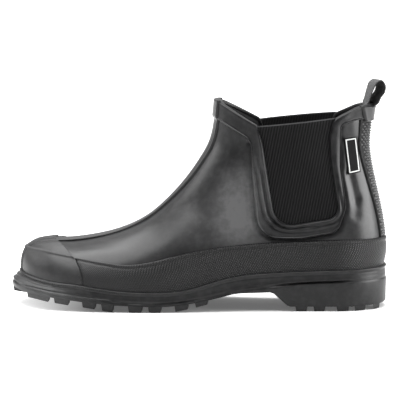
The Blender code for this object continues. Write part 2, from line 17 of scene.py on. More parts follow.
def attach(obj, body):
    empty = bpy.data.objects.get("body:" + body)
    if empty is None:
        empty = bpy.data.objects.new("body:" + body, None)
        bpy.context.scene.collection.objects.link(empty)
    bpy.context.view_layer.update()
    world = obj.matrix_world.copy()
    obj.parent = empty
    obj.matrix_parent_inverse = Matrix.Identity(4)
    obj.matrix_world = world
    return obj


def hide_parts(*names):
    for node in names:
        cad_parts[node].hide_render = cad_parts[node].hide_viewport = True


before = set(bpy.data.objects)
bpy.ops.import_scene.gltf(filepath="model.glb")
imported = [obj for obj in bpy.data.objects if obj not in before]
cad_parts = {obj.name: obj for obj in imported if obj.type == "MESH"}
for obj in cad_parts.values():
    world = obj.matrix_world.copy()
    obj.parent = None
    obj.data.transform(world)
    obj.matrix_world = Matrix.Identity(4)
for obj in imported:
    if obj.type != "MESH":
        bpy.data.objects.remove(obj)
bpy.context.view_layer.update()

MM = 0.001

# %% [markdown]
# Camera
#
# The boot was photographed from its outer side with a long lens, a little from above and a little from
# the heel's side. A long lens is a large distance and a narrow view.

# %% Camera
AIM = Vector((0.5, 0.0, 81.1)) * MM
AZIMUTH = math.radians(3.0)
ELEVATION = math.radians(6.8)
DISTANCE = 2.8
VIEW_WIDTH = 0.3104
SENSOR_WIDTH = 36.0

away = Vector((
    math.sin(AZIMUTH) * math.cos(ELEVATION),
    -math.cos(AZIMUTH) * math.cos(ELEVATION),
    math.sin(ELEVATION),
))
lens = bpy.data.cameras.new("camera")
lens.sensor_width = SENSOR_WIDTH
lens.lens = SENSOR_WIDTH * DISTANCE / VIEW_WIDTH
camera = bpy.data.objects.new("camera", lens)
camera.location = AIM + away * DISTANCE
camera.rotation_euler = away.to_track_quat("Z", "Y").to_euler()
bpy.context.scene.collection.objects.link(camera)
bpy.context.scene.camera = camera
print(f"camera {DISTANCE} m away, lens {lens.lens:.0f} mm")

# %% [markdown]
# Finishes as arithmetic
#
# A procedural finish is a small graph of nodes. Written node by node it is hard to read, so one class
# wraps a socket and lets Python's own operators add the Math nodes: `1 - mask` is then a real node.

# %% A socket that can be calculated with
def add_node(tree, kind, settings=None, values=None):
    """A node with its settings made first, then the values or links of its sockets."""
    made = tree.nodes.new(kind)
    for key, value in (settings or {}).items():
        setattr(made, key, value)
    for key, value in (values or {}).items():
        if isinstance(value, Wire):
            tree.links.new(value.socket, made.inputs[key])
        else:
            made.inputs[key].default_value = value
    return made


class Wire:
    """One output socket; arithmetic on it adds Math nodes to its tree."""

    def __init__(self, tree, socket):
        self.tree = tree
        self.socket = socket

    def joined(self, operation, *values):
        made = add_node(self.tree, "ShaderNodeMath", {"operation": operation}, dict(enumerate(values)))
        return Wire(self.tree, made.outputs[0])

    def math(self, operation, *others):
        return self.joined(operation, self, *others)

    def __add__(self, other):
        return self.math("ADD", other)

    def __sub__(self, other):
        return self.math("SUBTRACT", other)

    def __rsub__(self, other):
        return self.joined("SUBTRACT", other, self)

    def __mul__(self, other):
        return self.math("MULTIPLY", other)

    def __truediv__(self, other):
        return self.math("DIVIDE", other)

    def __gt__(self, other):
        return self.math("GREATER_THAN", other)

    __radd__ = __add__
    __rmul__ = __mul__

    def wave(self, pitch):
        """A smooth wave of this value that runs from 0 to 1 once in each pitch."""
        return (self * (2 * math.pi / pitch)).math("SINE") * 0.5 + 0.5

    def step(self, low, high, start=0.0, end=1.0):
        """A start value below low, an end value above high, soft in between."""
        made = add_node(self.tree, "ShaderNodeMapRange", {"interpolation_type": "SMOOTHSTEP"},
                        {"Value": self, "From Min": low, "From Max": high, "To Min": start, "To Max": end})
        return Wire(self.tree, made.outputs["Result"])


class Finish:
    """A Principled material, with short ways to its coordinates, noises and sockets."""

    def __init__(self, name, colour, roughness, specular=0.5):
        self.material = bpy.data.materials.new(name)
        self.material.use_nodes = True
        self.tree = self.material.node_tree
        self.shader = self.tree.nodes["Principled BSDF"]
        self.set("Base Color", (*colour, 1.0))
        self.set("Roughness", roughness)
        self.set("Specular IOR Level", specular)

    def set(self, socket, value):
        self.shader.inputs[socket].default_value = value

    def feed(self, socket, wire):
        self.tree.links.new(wire.socket, self.shader.inputs[socket])

    def place(self):
        """Object coordinates in millimetres."""
        coordinates = add_node(self.tree, "ShaderNodeTexCoord")
        scaled = add_node(self.tree, "ShaderNodeVectorMath", {"operation": "SCALE"},
                          {0: Wire(self.tree, coordinates.outputs["Object"]), "Scale": 1 / MM})
        return Wire(self.tree, scaled.outputs["Vector"])

    def flat(self):
        """The piece's own flat coordinates, along and across, in millimetres."""
        source = add_node(self.tree, "ShaderNodeUVMap", {"uv_map": "flat"})
        along, across, _ = self.split(Wire(self.tree, source.outputs["UV"]))
        return along * UV_SPAN, across * UV_SPAN

    def split(self, vector):
        """The three parts of a vector."""
        made = add_node(self.tree, "ShaderNodeSeparateXYZ", values={0: vector})
        return [Wire(self.tree, socket) for socket in made.outputs]

    def vector(self, operation, *values, output="Vector"):
        made = add_node(self.tree, "ShaderNodeVectorMath", {"operation": operation}, dict(enumerate(values)))
        return Wire(self.tree, made.outputs[output])

    def noise(self, where, size, detail=2.0, roughness=0.5):
        made = add_node(self.tree, "ShaderNodeTexNoise", {"noise_dimensions": "3D"},
                        {"Vector": where, "Scale": 1.0 / size, "Detail": detail, "Roughness": roughness})
        return Wire(self.tree, made.outputs["Fac"])

    def shade(self, dark, light, mask):
        """A mix of two colours, or of wires that carry colours."""
        dark, light = (side if isinstance(side, Wire) else (*side, 1.0) for side in (dark, light))
        mixed = add_node(self.tree, "ShaderNodeMix", {"data_type": "RGBA"}, {
            "Factor": mask, 6: dark, 7: light})
        return Wire(self.tree, mixed.outputs[2])

    def bump(self, height, depth):
        """Relief from a height of 0 to 1, whose full depth is in millimetres."""
        made = add_node(self.tree, "ShaderNodeBump", values={
            "Height": height, "Distance": depth * MM, "Strength": 1.0})
        self.tree.links.new(made.outputs["Normal"], self.shader.inputs["Normal"])


UV_SPAN = 400.0
print("finish helpers ready")

# %% [markdown]
# Studio
#
# White surroundings make black rubber grey where it is seen at a flat angle, and large soft lights draw
# the broad highlights. The surroundings are darker on the camera's side. The paper glows a little away
# from the boot and under the raised toe, so that the floor stays pale there.

# %% Surroundings
FRONT_GREY, BACK_GREY, FRONT_FULL, BACK_FULL = 0.1, 0.72, -0.75, 0.0

bpy.context.scene.view_settings.view_transform = "Standard"
world = bpy.data.worlds.new("white studio")
bpy.context.scene.world = world
world.use_nodes = True
sky = world.node_tree
direction = add_node(sky, "ShaderNodeTexCoord")
apart = add_node(sky, "ShaderNodeSeparateXYZ", values={0: Wire(sky, direction.outputs["Generated"])})
grey = Wire(sky, apart.outputs["Y"]).step(FRONT_FULL, BACK_FULL, FRONT_GREY, BACK_GREY)
sky.nodes["Background"].inputs["Color"].default_value = (1.0, 1.0, 1.0, 1.0)
sky.links.new(grey.socket, sky.nodes["Background"].inputs["Strength"])
print(f"surroundings from {FRONT_GREY} in front to {BACK_GREY} behind")

# %% Floor
FLOOR_REACH, PAPER_GREY, PAPER_ROUGHNESS = 8.0, 0.7, 0.9
GLOW_NEAR, GLOW_FAR, GLOW_FROM, GLOW_FULL = 0.12, 0.9, 0.35, 1.6
TOE_GLOW, TOE_GLOW_FROM, TOE_GLOW_FULL = 0.5, -0.07, -0.135

floor_corners = [(x * FLOOR_REACH, y * FLOOR_REACH, 0) for x, y in ((-1, -1), (1, -1), (1, 1), (-1, 1))]
floor_mesh = bpy.data.meshes.new("floor")
floor_mesh.from_pydata(floor_corners, [], [(0, 1, 2, 3)])
floor = bpy.data.objects.new("floor", floor_mesh)
bpy.context.scene.collection.objects.link(floor)
paper = Finish("white paper", (PAPER_GREY, PAPER_GREY, PAPER_GREY), PAPER_ROUGHNESS)
paper.set("Emission Strength", 1.0)
spot = Wire(paper.tree, add_node(paper.tree, "ShaderNodeTexCoord").outputs["Object"])
around_boot = paper.vector("LENGTH", spot, output="Value").step(GLOW_FROM, GLOW_FULL, GLOW_NEAR, GLOW_FAR)
under_toe = paper.split(spot)[0].step(TOE_GLOW_FROM, TOE_GLOW_FULL, 0.0, TOE_GLOW)
paper.feed("Emission Color", around_boot + under_toe)
floor_mesh.materials.append(paper.material)
print(f"floor {2 * FLOOR_REACH:.0f} m wide")

# %% Soft lights, each with its place, aim, size and power
SOFTBOXES = (
    ("overhead softbox", (-0.16, 0.0, 1.35), (-0.03, 0.0, 0.05), (1.72, 1.5), 51.0),
    ("heel softbox", (1.2, -0.07, 0.36), (0.10, 0.0, 0.08), (0.93, 0.7), 19.0),
    ("instep softbox", (-1.25, 0.25, 0.72), (-0.05, 0.0, 0.06), (0.5, 0.7), 4.5),
    ("front softbox", (-0.35, -1.25, 0.95), (-0.03, 0.0, 0.05), (1.0, 0.6), 1.3),
)
for name, place, aim, size, watts in SOFTBOXES:
    data = bpy.data.lights.new(name, "AREA")
    data.shape = "RECTANGLE"
    data.size, data.size_y = size
    data.energy = watts
    light = bpy.data.objects.new(name, data)
    light.location = place
    light.rotation_euler = (Vector(place) - Vector(aim)).to_track_quat("Z", "Y").to_euler()
    bpy.context.scene.collection.objects.link(light)
print(len(SOFTBOXES), "softboxes")

# %% [markdown]
# The last
#
# A boot is pulled over a last, so the upper and every overlay follow one surface. Here the last comes
# from four short tables: the front profile, the back profile, the plan of the foot and the shaft.
# A point of the side view (x, z) gives the half width there; two numbers, the angle round the boot and
# the rise from the feather line to the collar, reach every point of the surface.

# %% Tables of the last and the sole
def table(columns, *rows):
    """Named columns of a short table."""
    return dict(zip(columns.split(), np.array(rows, dtype=float).T))


GAP = 0.3
FRONT = table(
    "x z round",
    (-135.8, 29.0, 24), (-135.9, 33.5, 24), (-134.8, 39.5, 24), (-131.5, 44.5, 24), (-126.0, 47.8, 24),
    (-116.0, 49.3, 25), (-98.0, 50.1, 31), (-80.0, 52.7, 36), (-60.0, 58.2, 43), (-40.0, 68.3, 50),
    (-20.0, 86.1, 54), (0.0, 111.7, 54), (8.5, 127.0, 52), (12.2, 143.0, 50), (13.4, 154.0, 50),
    (15.7, 176.0, 50),
)
TOE_TOP_ROW = 5
BACK = table(
    "z x round fullness",
    (32.5, 141.0, 37, 2.0), (41.0, 142.6, 37, 2.0), (58.0, 142.2, 38, 2.0), (78.0, 139.0, 40, 2.0),
    (95.0, 135.2, 43, 1.9), (112.0, 131.7, 47, 1.8), (125.0, 130.1, 51, 1.75), (142.0, 131.3, 54, 1.7),
    (172.0, 135.6, 56, 1.7),
)
PLAN = table(
    "x centre outer inner",
    (-140, 4.0, 45.5, 42.5), (-110, 3.6, 48.0, 43.0), (-85, 3.2, 50.0, 44.0), (-55, 2.6, 51.8, 46.0),
    (-30, 2.2, 51.2, 44.4), (0, 1.6, 46.6, 39.0), (30, 0.8, 41.0, 34.5), (60, 0.0, 36.5, 32.5),
    (90, 0.0, 34.5, 33.0), (120, 0.0, 34.0, 34.0), (145, 0.0, 34.0, 34.0),
)
SHAFT = table("x half", (-10, 30.0), (40, 33.5), (70, 35.5), (100, 33.0), (125, 29.0), (145, 27.0))
SOLE = table(
    "x top line base ground",
    (-146, 28.0, 18.6, 13.8, 10.0), (-125, 23.6, 16.2, 11.6, 7.8), (-110, 21.8, 14.1, 9.9, 6.0),
    (-92, 20.7, 12.2, 8.0, 3.9), (-76, 18.3, 10.2, 6.5, 1.9), (-65, 16.9, 9.0, 5.4, 0.0),
    (-44, 15.5, 7.4, 4.8, 0.0), (-20, 15.7, 7.4, 5.0, 0.0), (-6, 17.4, 8.9, 6.4, 2.4),
    (9, 21.6, 11.7, 9.2, 6.0), (18, 24.4, 13.7, 12.1, 12.1), (33, 27.5, 17.3, 14.3, 14.3),
    (58, 29.7, 19.8, 14.8, 14.8), (70.5, 30.3, 21.2, 3.7, 0.0), (100, 31.4, 23.0, 3.7, 0.0),
    (146, 32.6, 23.8, 3.7, 0.0),
)
TOE_ROUND_X, TOE_FULLNESS, TOP_FULLNESS = -78.0, 2.3, 2.2
SHAFT_FROM_Z, SHAFT_FULL_Z, TOE_AHEAD = 45.0, 135.0, 40.0
PROFILE_SAMPLES, CHART_HALVINGS = 3000, 44
print("rows for front, back and sole:", len(FRONT["x"]), len(BACK["z"]), len(SOLE["x"]))

# %% Curves through a table
def through(at, values, wanted):
    """Smooth curve through the rows of a table, level beyond its ends."""
    wanted = np.clip(wanted, at[0], at[-1])
    step = np.diff(at)
    rise = np.diff(values) / step
    tilt = np.empty(len(at))
    tilt[0], tilt[-1] = rise[0], rise[-1]
    tilt[1:-1] = (rise[:-1] * step[1:] + rise[1:] * step[:-1]) / (step[1:] + step[:-1])
    row = np.clip(np.searchsorted(at, wanted, side="right") - 1, 0, len(step) - 1)
    t = (wanted - at[row]) / step[row]
    start = values[row] * (1 + 2 * t) + step[row] * tilt[row] * t
    end = values[row + 1] * (3 - 2 * t) + step[row] * tilt[row + 1] * (t - 1)
    return start * (1 - t) ** 2 + end * t ** 2


def read(rows, column, at):
    """A column of a table as a smooth curve over its first column."""
    key = next(iter(rows))
    return through(rows[key], rows[column], at)


def ease(t):
    """Soft step from 0 to 1."""
    t = np.clip(t, 0, 1)
    return t * t * (3 - 2 * t)


def run_length(points):
    """Length along a line of points, starting at 0."""
    return np.concatenate(([0.0], np.cumsum(np.linalg.norm(np.diff(points, axis=0), axis=1))))


def columns_at(run, line, at):
    """The columns of a line of points, read at lengths along it."""
    return [np.interp(at, run, column) for column in line.T]


def grid_run(grid, axis):
    """Length along the lines of a grid of points, starting at 0."""
    first = np.take(grid, [0], axis=axis)
    return np.cumsum(np.linalg.norm(np.diff(grid, axis=axis, prepend=first), axis=-1), axis=axis)


def once_round(count):
    """Even angles once round the last."""
    return np.arange(count) * 2 * math.pi / count


def sole_height(level, x):
    if level in ("base", "ground"):
        return np.interp(x, SOLE["x"], SOLE[level])
    return read(SOLE, level, x)


def feather(x):
    """The line where the upper meets the sole."""
    return sole_height("top", x) + GAP


FRONT["z"][0] = feather(FRONT["x"][0])
BACK["z"][0] = feather(BACK["x"][0])
FRONT_RUN = run_length(np.stack((FRONT["x"], FRONT["z"]), axis=1))
print("front profile is", round(float(FRONT_RUN[-1])), "mm long")

# %% The crest line that the sections round off from
def front_at(share):
    run = share * FRONT_RUN[-1]
    return through(FRONT_RUN, FRONT["x"], run), through(FRONT_RUN, FRONT["z"], run)


toe_share = np.linspace(0, FRONT_RUN[TOE_TOP_ROW] / FRONT_RUN[-1], PROFILE_SAMPLES)
TOE_X, TOE_Z = front_at(toe_share)
crest_share = np.linspace(toe_share[-1], 1, PROFILE_SAMPLES)
crest_x, crest_z = front_at(crest_share)
ahead = np.linspace(-TOE_AHEAD, 0, PROFILE_SAMPLES // 4)[:-1]
CREST = np.stack((np.concatenate((crest_x[0] + ahead, crest_x)),
                  np.concatenate((crest_z[0] + 0 * ahead, crest_z))), axis=1)
CREST_REACH = np.concatenate((FRONT["round"][TOE_TOP_ROW] + 0 * ahead,
                              through(FRONT_RUN, FRONT["round"], crest_share * FRONT_RUN[-1])))
along = np.gradient(CREST, axis=0)
along /= np.linalg.norm(along, axis=1)[:, None]
CREST_IN = np.stack((along[:, 1], -along[:, 0]), axis=1)
crest_tree = kdtree.KDTree(len(CREST))
for row, spot in enumerate(CREST):
    crest_tree.insert((spot[0], spot[1], 0.0), row)
crest_tree.balance()


def side_of_last(x, z, side):
    """Centre and half width of the last at a point of the side view; side is -1 outside, 1 inside."""
    x, z, side = np.broadcast_arrays(np.asarray(x, float), np.asarray(z, float), side)
    rise = ease((z - SHAFT_FROM_Z) / (SHAFT_FULL_Z - SHAFT_FROM_Z))
    foot = np.where(side < 0, read(PLAN, "outer", x), read(PLAN, "inner", x))
    width = foot + (read(SHAFT, "half", x) - foot) * rise
    centre = read(PLAN, "centre", x) * (1 - rise)
    tip = np.interp(z, TOE_Z, TOE_X)
    toe = np.clip((TOE_ROUND_X - x) / (TOE_ROUND_X - tip), 0, 1) ** TOE_FULLNESS
    near = np.array([crest_tree.find((a, b, 0.0))[1] for a, b in zip(x.ravel().tolist(), z.ravel().tolist())])
    near = near.reshape(x.shape)
    depth = (x - CREST[near, 0]) * CREST_IN[near, 0] + (z - CREST[near, 1]) * CREST_IN[near, 1]
    top = np.clip(1 - depth / CREST_REACH[near], 0, 1) ** TOP_FULLNESS
    behind = read(BACK, "x", z) - x
    heel = np.clip(1 - behind / read(BACK, "round", z), 0, 1)
    heel = heel ** read(BACK, "fullness", z)
    return centre, width * np.sqrt((1 - toe) * (1 - top) * (1 - heel))


def ends(rise):
    """Front and back ends of a level of the last: x and height above the feather line."""
    front_x, front_z = front_at(rise)
    back_z = BACK["z"][0] + (BACK["z"][-1] - BACK["z"][0]) * rise
    back_x = read(BACK, "x", back_z)
    return front_x, front_z - feather(front_x), back_x, back_z - feather(back_x)


def on_last(angle, rise):
    """Point of the last; angle 0 is the front and pi the back, and the outer side comes first."""
    angle, rise = np.broadcast_arrays(np.asarray(angle, float), np.asarray(rise, float))
    front_x, front_up, back_x, back_up = ends(rise)
    share = (1 - np.cos(angle)) / 2
    x = front_x + (back_x - front_x) * share
    z = feather(x) + front_up * (1 - share) + back_up * share
    side = np.where(np.sin(angle) > 0, -1.0, 1.0)
    centre, half = side_of_last(x, z, side)
    half = np.where(np.abs(np.sin(angle)) < 1e-7, 0, half)
    return np.stack((x, centre + side * half, z), axis=-1)


def chart_of(x, z):
    """Share of the way from front to back, and rise, of points of the side view."""
    low = np.zeros_like(x)
    high = np.ones_like(x)
    for _ in range(CHART_HALVINGS):
        rise = (low + high) / 2
        front_x, front_up, back_x, back_up = ends(rise)
        share = (x - front_x) / (back_x - front_x)
        under = feather(x) + front_up * (1 - share) + back_up * share < z
        low = np.where(under, rise, low)
        high = np.where(under, high, rise)
    return share, rise


print("last: collar front", on_last(0.0, 0.9).round(1), "widest", on_last(1.0, 0.1).round(1))

# %% [markdown]
# From grids to closed pieces
#
# Every overlay is a patch of that surface with a height of its own. A patch is a grid of points, the
# direction straight out at each point, and a height for its top and its underside. Closing the rim
# turns it into a solid shell, so each piece has real edges that catch the light.

# %% Closed pieces from grids
CORE_X, CORE_REACH_X, CORE_LOW_Z, CORE_FROM_Z, CORE_RISE = 75.0, 105.0, 32.0, 60.0, 60.0
SHARP_ANGLE = math.radians(38)
MERGE_DISTANCE = 1e-7
# Height of an overlay's underside, least height of its top, and the distance its rounded rim starts from
CLEAR, THINNEST, RIM_START = 0.02, 0.05, 0.05


def straight_out(grid, wrap=False):
    """Unit directions out of the boot at each point of a grid on its surface."""
    if wrap:
        first = np.roll(grid, -1, axis=0) - np.roll(grid, 1, axis=0)
    else:
        first = np.gradient(grid, axis=0)
    normal = np.cross(first, np.gradient(grid, axis=1))
    normal /= np.maximum(np.linalg.norm(normal, axis=-1, keepdims=True), 1e-9)
    up = ease((grid[..., 2] - CORE_FROM_Z) / CORE_RISE)
    core = np.stack((
        np.clip(grid[..., 0], -CORE_REACH_X, CORE_REACH_X) * (1 - up) + CORE_X * up,
        np.zeros_like(up),
        CORE_LOW_Z * (1 - up) + grid[..., 2] * up,
    ), axis=-1)
    return normal * np.sign(np.mean(np.sum(normal * (grid - core), axis=-1)))


def quads(index, wrap=False):
    """Faces between neighbours of a grid of vertex numbers."""
    if wrap:
        index = np.concatenate((index, index[:1]), axis=0)
    corners = index[:-1, :-1], index[1:, :-1], index[1:, 1:], index[:-1, 1:]
    return np.stack(corners, axis=-1).reshape(-1, 4)


def make_piece(name, points, faces, flat=None):
    """A mesh object from points in millimetres; flat holds along and across for each point."""
    mesh = bpy.data.meshes.new(name)
    mesh.from_pydata((np.asarray(points) * MM).tolist(), [], [tuple(face) for face in faces])
    if flat is not None:
        layer = mesh.uv_layers.new(name="flat")
        corner = np.empty(len(mesh.loops), dtype=np.int32)
        mesh.loops.foreach_get("vertex_index", corner)
        layer.data.foreach_set("uv", (np.asarray(flat)[corner] / UV_SPAN).ravel())
    piece = bpy.data.objects.new(name, mesh)
    bpy.context.scene.collection.objects.link(piece)
    bm = bmesh.new()
    bm.from_mesh(mesh)
    bmesh.ops.remove_doubles(bm, verts=bm.verts, dist=MERGE_DISTANCE)
    bmesh.ops.dissolve_degenerate(bm, edges=bm.edges, dist=MERGE_DISTANCE)
    bmesh.ops.recalc_face_normals(bm, faces=bm.faces)
    bm.to_mesh(mesh)
    bm.free()
    mesh.shade_smooth()
    mesh.set_sharp_from_angle(angle=SHARP_ANGLE)
    return piece


def shell(name, upper, lower, flat=None, wrap=False):
    """A closed piece between two grids of points, with faces round their rim."""
    rows, columns = upper.shape[:2]
    above = np.arange(rows * columns).reshape(rows, columns)
    below = above + rows * columns
    faces = [quads(above, wrap), quads(below, wrap)[:, ::-1]]
    rims = [(above[:, 0], below[:, 0]), (above[:, -1], below[:, -1])]
    if not wrap:
        rims += [(above[0], below[0]), (above[-1], below[-1])]
    for edge, foot in rims:
        faces.append(quads(np.stack((edge, foot), axis=1), wrap))
    both = None if flat is None else np.concatenate((flat.reshape(-1, 2), flat.reshape(-1, 2)))
    points = np.concatenate((upper.reshape(-1, 3), lower.reshape(-1, 3)))
    return make_piece(name, points, np.concatenate(faces), both)


def patch(name, grid, top, underside, flat=None, wrap=False):
    """A shell over a grid of the last: its top and underside are heights above the grid."""
    out = straight_out(grid, wrap)
    heights = [np.broadcast_to(height, grid.shape[:2])[..., None] for height in (top, underside)]
    return shell(name, grid + out * heights[0], grid + out * heights[1], flat, wrap)


def swept(name, rings, closed=True, flat=None):
    """A closed section carried along a path, as rings of points; an open path gets end faces."""
    count, around = rings.shape[:2]
    index = np.arange(count * around).reshape(count, around)
    ring = np.concatenate((index, index[:, :1]), axis=1)
    faces = [tuple(face) for face in quads(ring, wrap=closed)]
    if not closed:
        faces += [tuple(index[0]), tuple(index[-1][::-1])]
    return make_piece(name, rings.reshape(-1, 3), faces, flat)


def rounding(distance, radius):
    """Height share near an edge: 0 on the edge and 1 from one radius away, as a quarter circle."""
    t = np.clip(distance / radius, 0, 1)
    return np.sqrt(1 - (1 - t) ** 2)


def bead(distance, half):
    """A soft bump around distance 0."""
    return np.exp(-(distance / half) ** 2)


def beads(distance, rows):
    """Bumps and dips side by side, each with its height, its distance and its half width."""
    return sum(lift * bead(distance - at, half) for lift, at, half in rows)


print("helpers for closed pieces ready")

# %% Outlines drawn in the side view
ARC_STEP = math.radians(4)
CORNER_SHARE = 0.48


def rounded(corners, closed=True):
    """Outline with round corners, and the number of the point in the middle of each corner."""
    points, middles = [], []
    count = len(corners)
    for i in range(count):
        corner = np.array(corners[i][:2])
        radius = corners[i][2]
        end = not closed and i in (0, count - 1)
        if radius == 0 or end:
            middles.append(len(points))
            points.append(corner)
            continue
        before = np.array(corners[i - 1][:2]) - corner
        after = np.array(corners[(i + 1) % count][:2]) - corner
        room = CORNER_SHARE * min(np.linalg.norm(before), np.linalg.norm(after))
        before /= np.linalg.norm(before)
        after /= np.linalg.norm(after)
        half = math.acos(np.clip(before @ after, -1, 1)) / 2
        cut = min(radius / math.tan(half), room)
        radius = cut * math.tan(half)
        middle = corner + (before + after) / np.linalg.norm(before + after) * radius / math.sin(half)
        start = corner + before * cut - middle
        stop = corner + after * cut - middle
        first = math.atan2(start[1], start[0])
        turn = math.remainder(math.atan2(stop[1], stop[0]) - first, 2 * math.pi)
        steps = max(2, 2 * math.ceil(abs(turn) / ARC_STEP / 2))
        middles.append(len(points) + steps // 2)
        for k in range(steps + 1):
            angle = first + turn * k / steps
            points.append(middle + radius * np.array((math.cos(angle), math.sin(angle))))
    return np.array(points), middles


def grown(corners, distance):
    """The same corners with every side moved outwards; a negative distance shrinks the outline."""
    spots = np.array([corner[:2] for corner in corners])
    after = np.roll(spots, -1, axis=0)
    turning = np.sign(np.sum(spots[:, 0] * after[:, 1] - after[:, 0] * spots[:, 1]))
    along = (after - spots) / np.linalg.norm(after - spots, axis=1)[:, None]
    out = np.stack((along[:, 1], -along[:, 0]), axis=1) * turning
    before = np.roll(out, 1, axis=0)
    shift = (out + before) / (1 + np.sum(out * before, axis=1))[:, None] * distance
    return [(*spot, corner[2]) for spot, corner in zip(spots + shift, corners)]


SIDE_REACH = 90.0


def side_cutter(name, outline):
    """A prism across the boot from an outline of the side view, to cut pieces with."""
    count = len(outline)
    points = [(x, y, z) for y in (-SIDE_REACH, SIDE_REACH) for x, z in outline]
    faces = [tuple(range(count)), tuple(range(2 * count - 1, count - 1, -1))]
    faces += [(i, (i + 1) % count, count + (i + 1) % count, count + i) for i in range(count)]
    return make_piece(name, points, faces)


def cut_with(piece, cutter, operation):
    """Apply a Boolean to a piece and remove the cutter."""
    modifier = piece.modifiers.new("cut", "BOOLEAN")
    modifier.operation = operation
    modifier.solver = "EXACT"
    modifier.object = cutter
    cut = bpy.data.meshes.new_from_object(piece.evaluated_get(bpy.context.evaluated_depsgraph_get()))
    piece.modifiers.clear()
    piece.data = cut
    bpy.data.objects.remove(cutter, do_unlink=True)
    cut.set_sharp_from_angle(angle=SHARP_ANGLE)
    return piece


def wear(piece, finish, nodes=()):
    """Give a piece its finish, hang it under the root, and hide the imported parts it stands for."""
    piece.data.materials.clear()
    piece.data.materials.append(finish.material)
    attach(piece, "root")
    if nodes:
        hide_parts(*nodes)
    tris = sum(len(face.vertices) - 2 for face in piece.data.polygons)
    print(f"{piece.name}: {tris} triangles")


print("helpers for outlines and cuts ready")

# %% [markdown]
# Rubber
#
# The boot is black rubber with a satin skin. The skin isn't even, so its gloss changes in slow clouds,
# and it has a very fine pebble that breaks up the highlights. Its colour is a little paler at random, and
# soft pale patches are painted in; on the shaft and the binding these are painted sheen.

# %% Rubber finishes
CLOUD_SIZE, DUST_SIZE, RIPPLE_SIZE = 16.0, 5.0, 7.0
DUST_FROM, DUST_FULL, DUST_PALE = 0.35, 0.75, 0.12
PATCH_CORE, PATCH_GRAIN, PALE_ROUGHER, RIPPLE_SHARE = 0.1, 0.7, 0.3, 2.0


def rubber(name, colour, roughness, cloud, pebble_size, pebble_depth, specular=0.33, pale_patches=(), painted_light=None):
    """Black rubber, with soft pale patches by centre, reach and strength, and a mask of painted highlights.
    """
    finish = Finish(name, colour, roughness, specular)
    place = finish.place()
    clouds = finish.noise(place, CLOUD_SIZE, detail=3.0)
    dust = finish.noise(place, DUST_SIZE, detail=4.0, roughness=0.6)
    pale = dust.step(DUST_FROM, DUST_FULL) * DUST_PALE
    for centre, reach, strength in pale_patches:
        offset = finish.vector("SUBTRACT", place, centre)
        away = finish.vector("LENGTH", finish.vector("DIVIDE", offset, reach), output="Value")
        near = 1 - away.step(PATCH_CORE, 1.0)
        pale = pale + near * (dust * PATCH_GRAIN + clouds * PATCH_GRAIN) * strength
    if painted_light is not None:
        pale = pale + painted_light(finish)
    finish.feed("Roughness", clouds * cloud + (roughness - cloud / 2) + pale * PALE_ROUGHER)
    finish.feed("Base Color", finish.shade(colour, DUST_AND_SHEEN_GREY, pale))
    pebble = finish.noise(place, pebble_size) + finish.noise(place, RIPPLE_SIZE) * RIPPLE_SHARE
    finish.bump(pebble, pebble_depth)
    return finish


DUST_AND_SHEEN_GREY = (0.075, 0.075, 0.076)
# Pale patches on the shaft's side and on the binding beside it are painted sheen: paler colour for reflected
# light.
UPPER_PAINTED_SHEEN = (
    ((33.0, -37.0, 79.0), (30.0, 30.0, 45.0), 1.4),
    ((5.0, -40.0, 66.0), (36.0, 30.0, 36.0), 0.25),
)
BINDING_PAINTED_SHEEN = (((44.0, -37.0, 88.0), (18.0, 30.0, 44.0), 0.85),)
satin_rubber = rubber("satin black rubber", (0.009, 0.009, 0.0094), 0.30, 0.10, 0.55, 0.03)
upper_rubber = rubber("satin black rubber with painted sheen", (0.009, 0.009, 0.0094), 0.30, 0.10, 0.55, 0.03,
                      pale_patches=UPPER_PAINTED_SHEEN)
binding_rubber = rubber("binding rubber", (0.007, 0.007, 0.0074), 0.30, 0.10, 0.55, 0.03, 0.2, BINDING_PAINTED_SHEEN)
print("rubber ready")

# %% [markdown]
# Upper
#
# The upper is one rubber wall on the last, open at the collar and at both gores. A dense grid over the
# angle and the rise gives the wall; the openings are cut with a prism, and the bands hide the cut edge.
# Soft troughs and ridges of up to 1.5 mm make the creases, and a furrow follows the binding's edge.

# %% Upper with its creases
WALL = 2.2
GORE_CUT = (
    (44.8, 141.9, 4.0), (49.4, 127.9, 40.0), (53.4, 101.4, 60.0), (59.9, 63.2, 15.0),
    (110.3, 71.5, 9.0), (103.2, 117.0, 50.0), (102.4, 135.0, 20.0), (105.4, 146.3, 6.0),
)
COLLAR_FRONT_CUT = ((-20.0, 200.0, 0.0), (-20.0, 177.9, 0.0))
COLLAR_BACK_CUT = ((124.0, 155.2, 25.0), (160.0, 158.4, 0.0), (160.0, 200.0, 0.0))
OPENING = COLLAR_FRONT_CUT + GORE_CUT + COLLAR_BACK_CUT
CREASES = (
    (-102.0, 46.5, -55.0, 50.5, 4.5, -0.55),
    (-96.0, 43.0, -50.0, 45.0, 6.0, 0.35),
    (-8.0, 84.0, 22.0, 66.0, 10.0, -0.5),
    (14.0, 118.0, 30.0, 84.0, 9.0, 0.45),
    (116.3, 107.0, 122.8, 82.0, 3.4, -1.5),
    (122.6, 88.0, 122.0, 70.0, 4.0, -0.9),
    (107.5, 146.0, 108.5, 131.0, 6.0, -0.7),
    (119.5, 147.0, 120.5, 131.0, 4.0, 0.7),
)
CREASE_END = 0.4


def creases(x, z):
    """Height of the soft troughs and ridges; each runs from one point of the side view to another."""
    height = np.zeros_like(x)
    for x0, z0, x1, z1, width, lift in CREASES:
        run = np.hypot(x1 - x0, z1 - z0)
        along = ((x - x0) * (x1 - x0) + (z - z0) * (z1 - z0)) / run
        across = ((x - x0) * (z1 - z0) - (z - z0) * (x1 - x0)) / run
        soft = CREASE_END * run
        end = ease(along / soft + 0.5) * ease((run - along) / soft + 0.5)
        height += lift * bead(across, width) * end
    return height


print(len(CREASES), "creases in the upper")

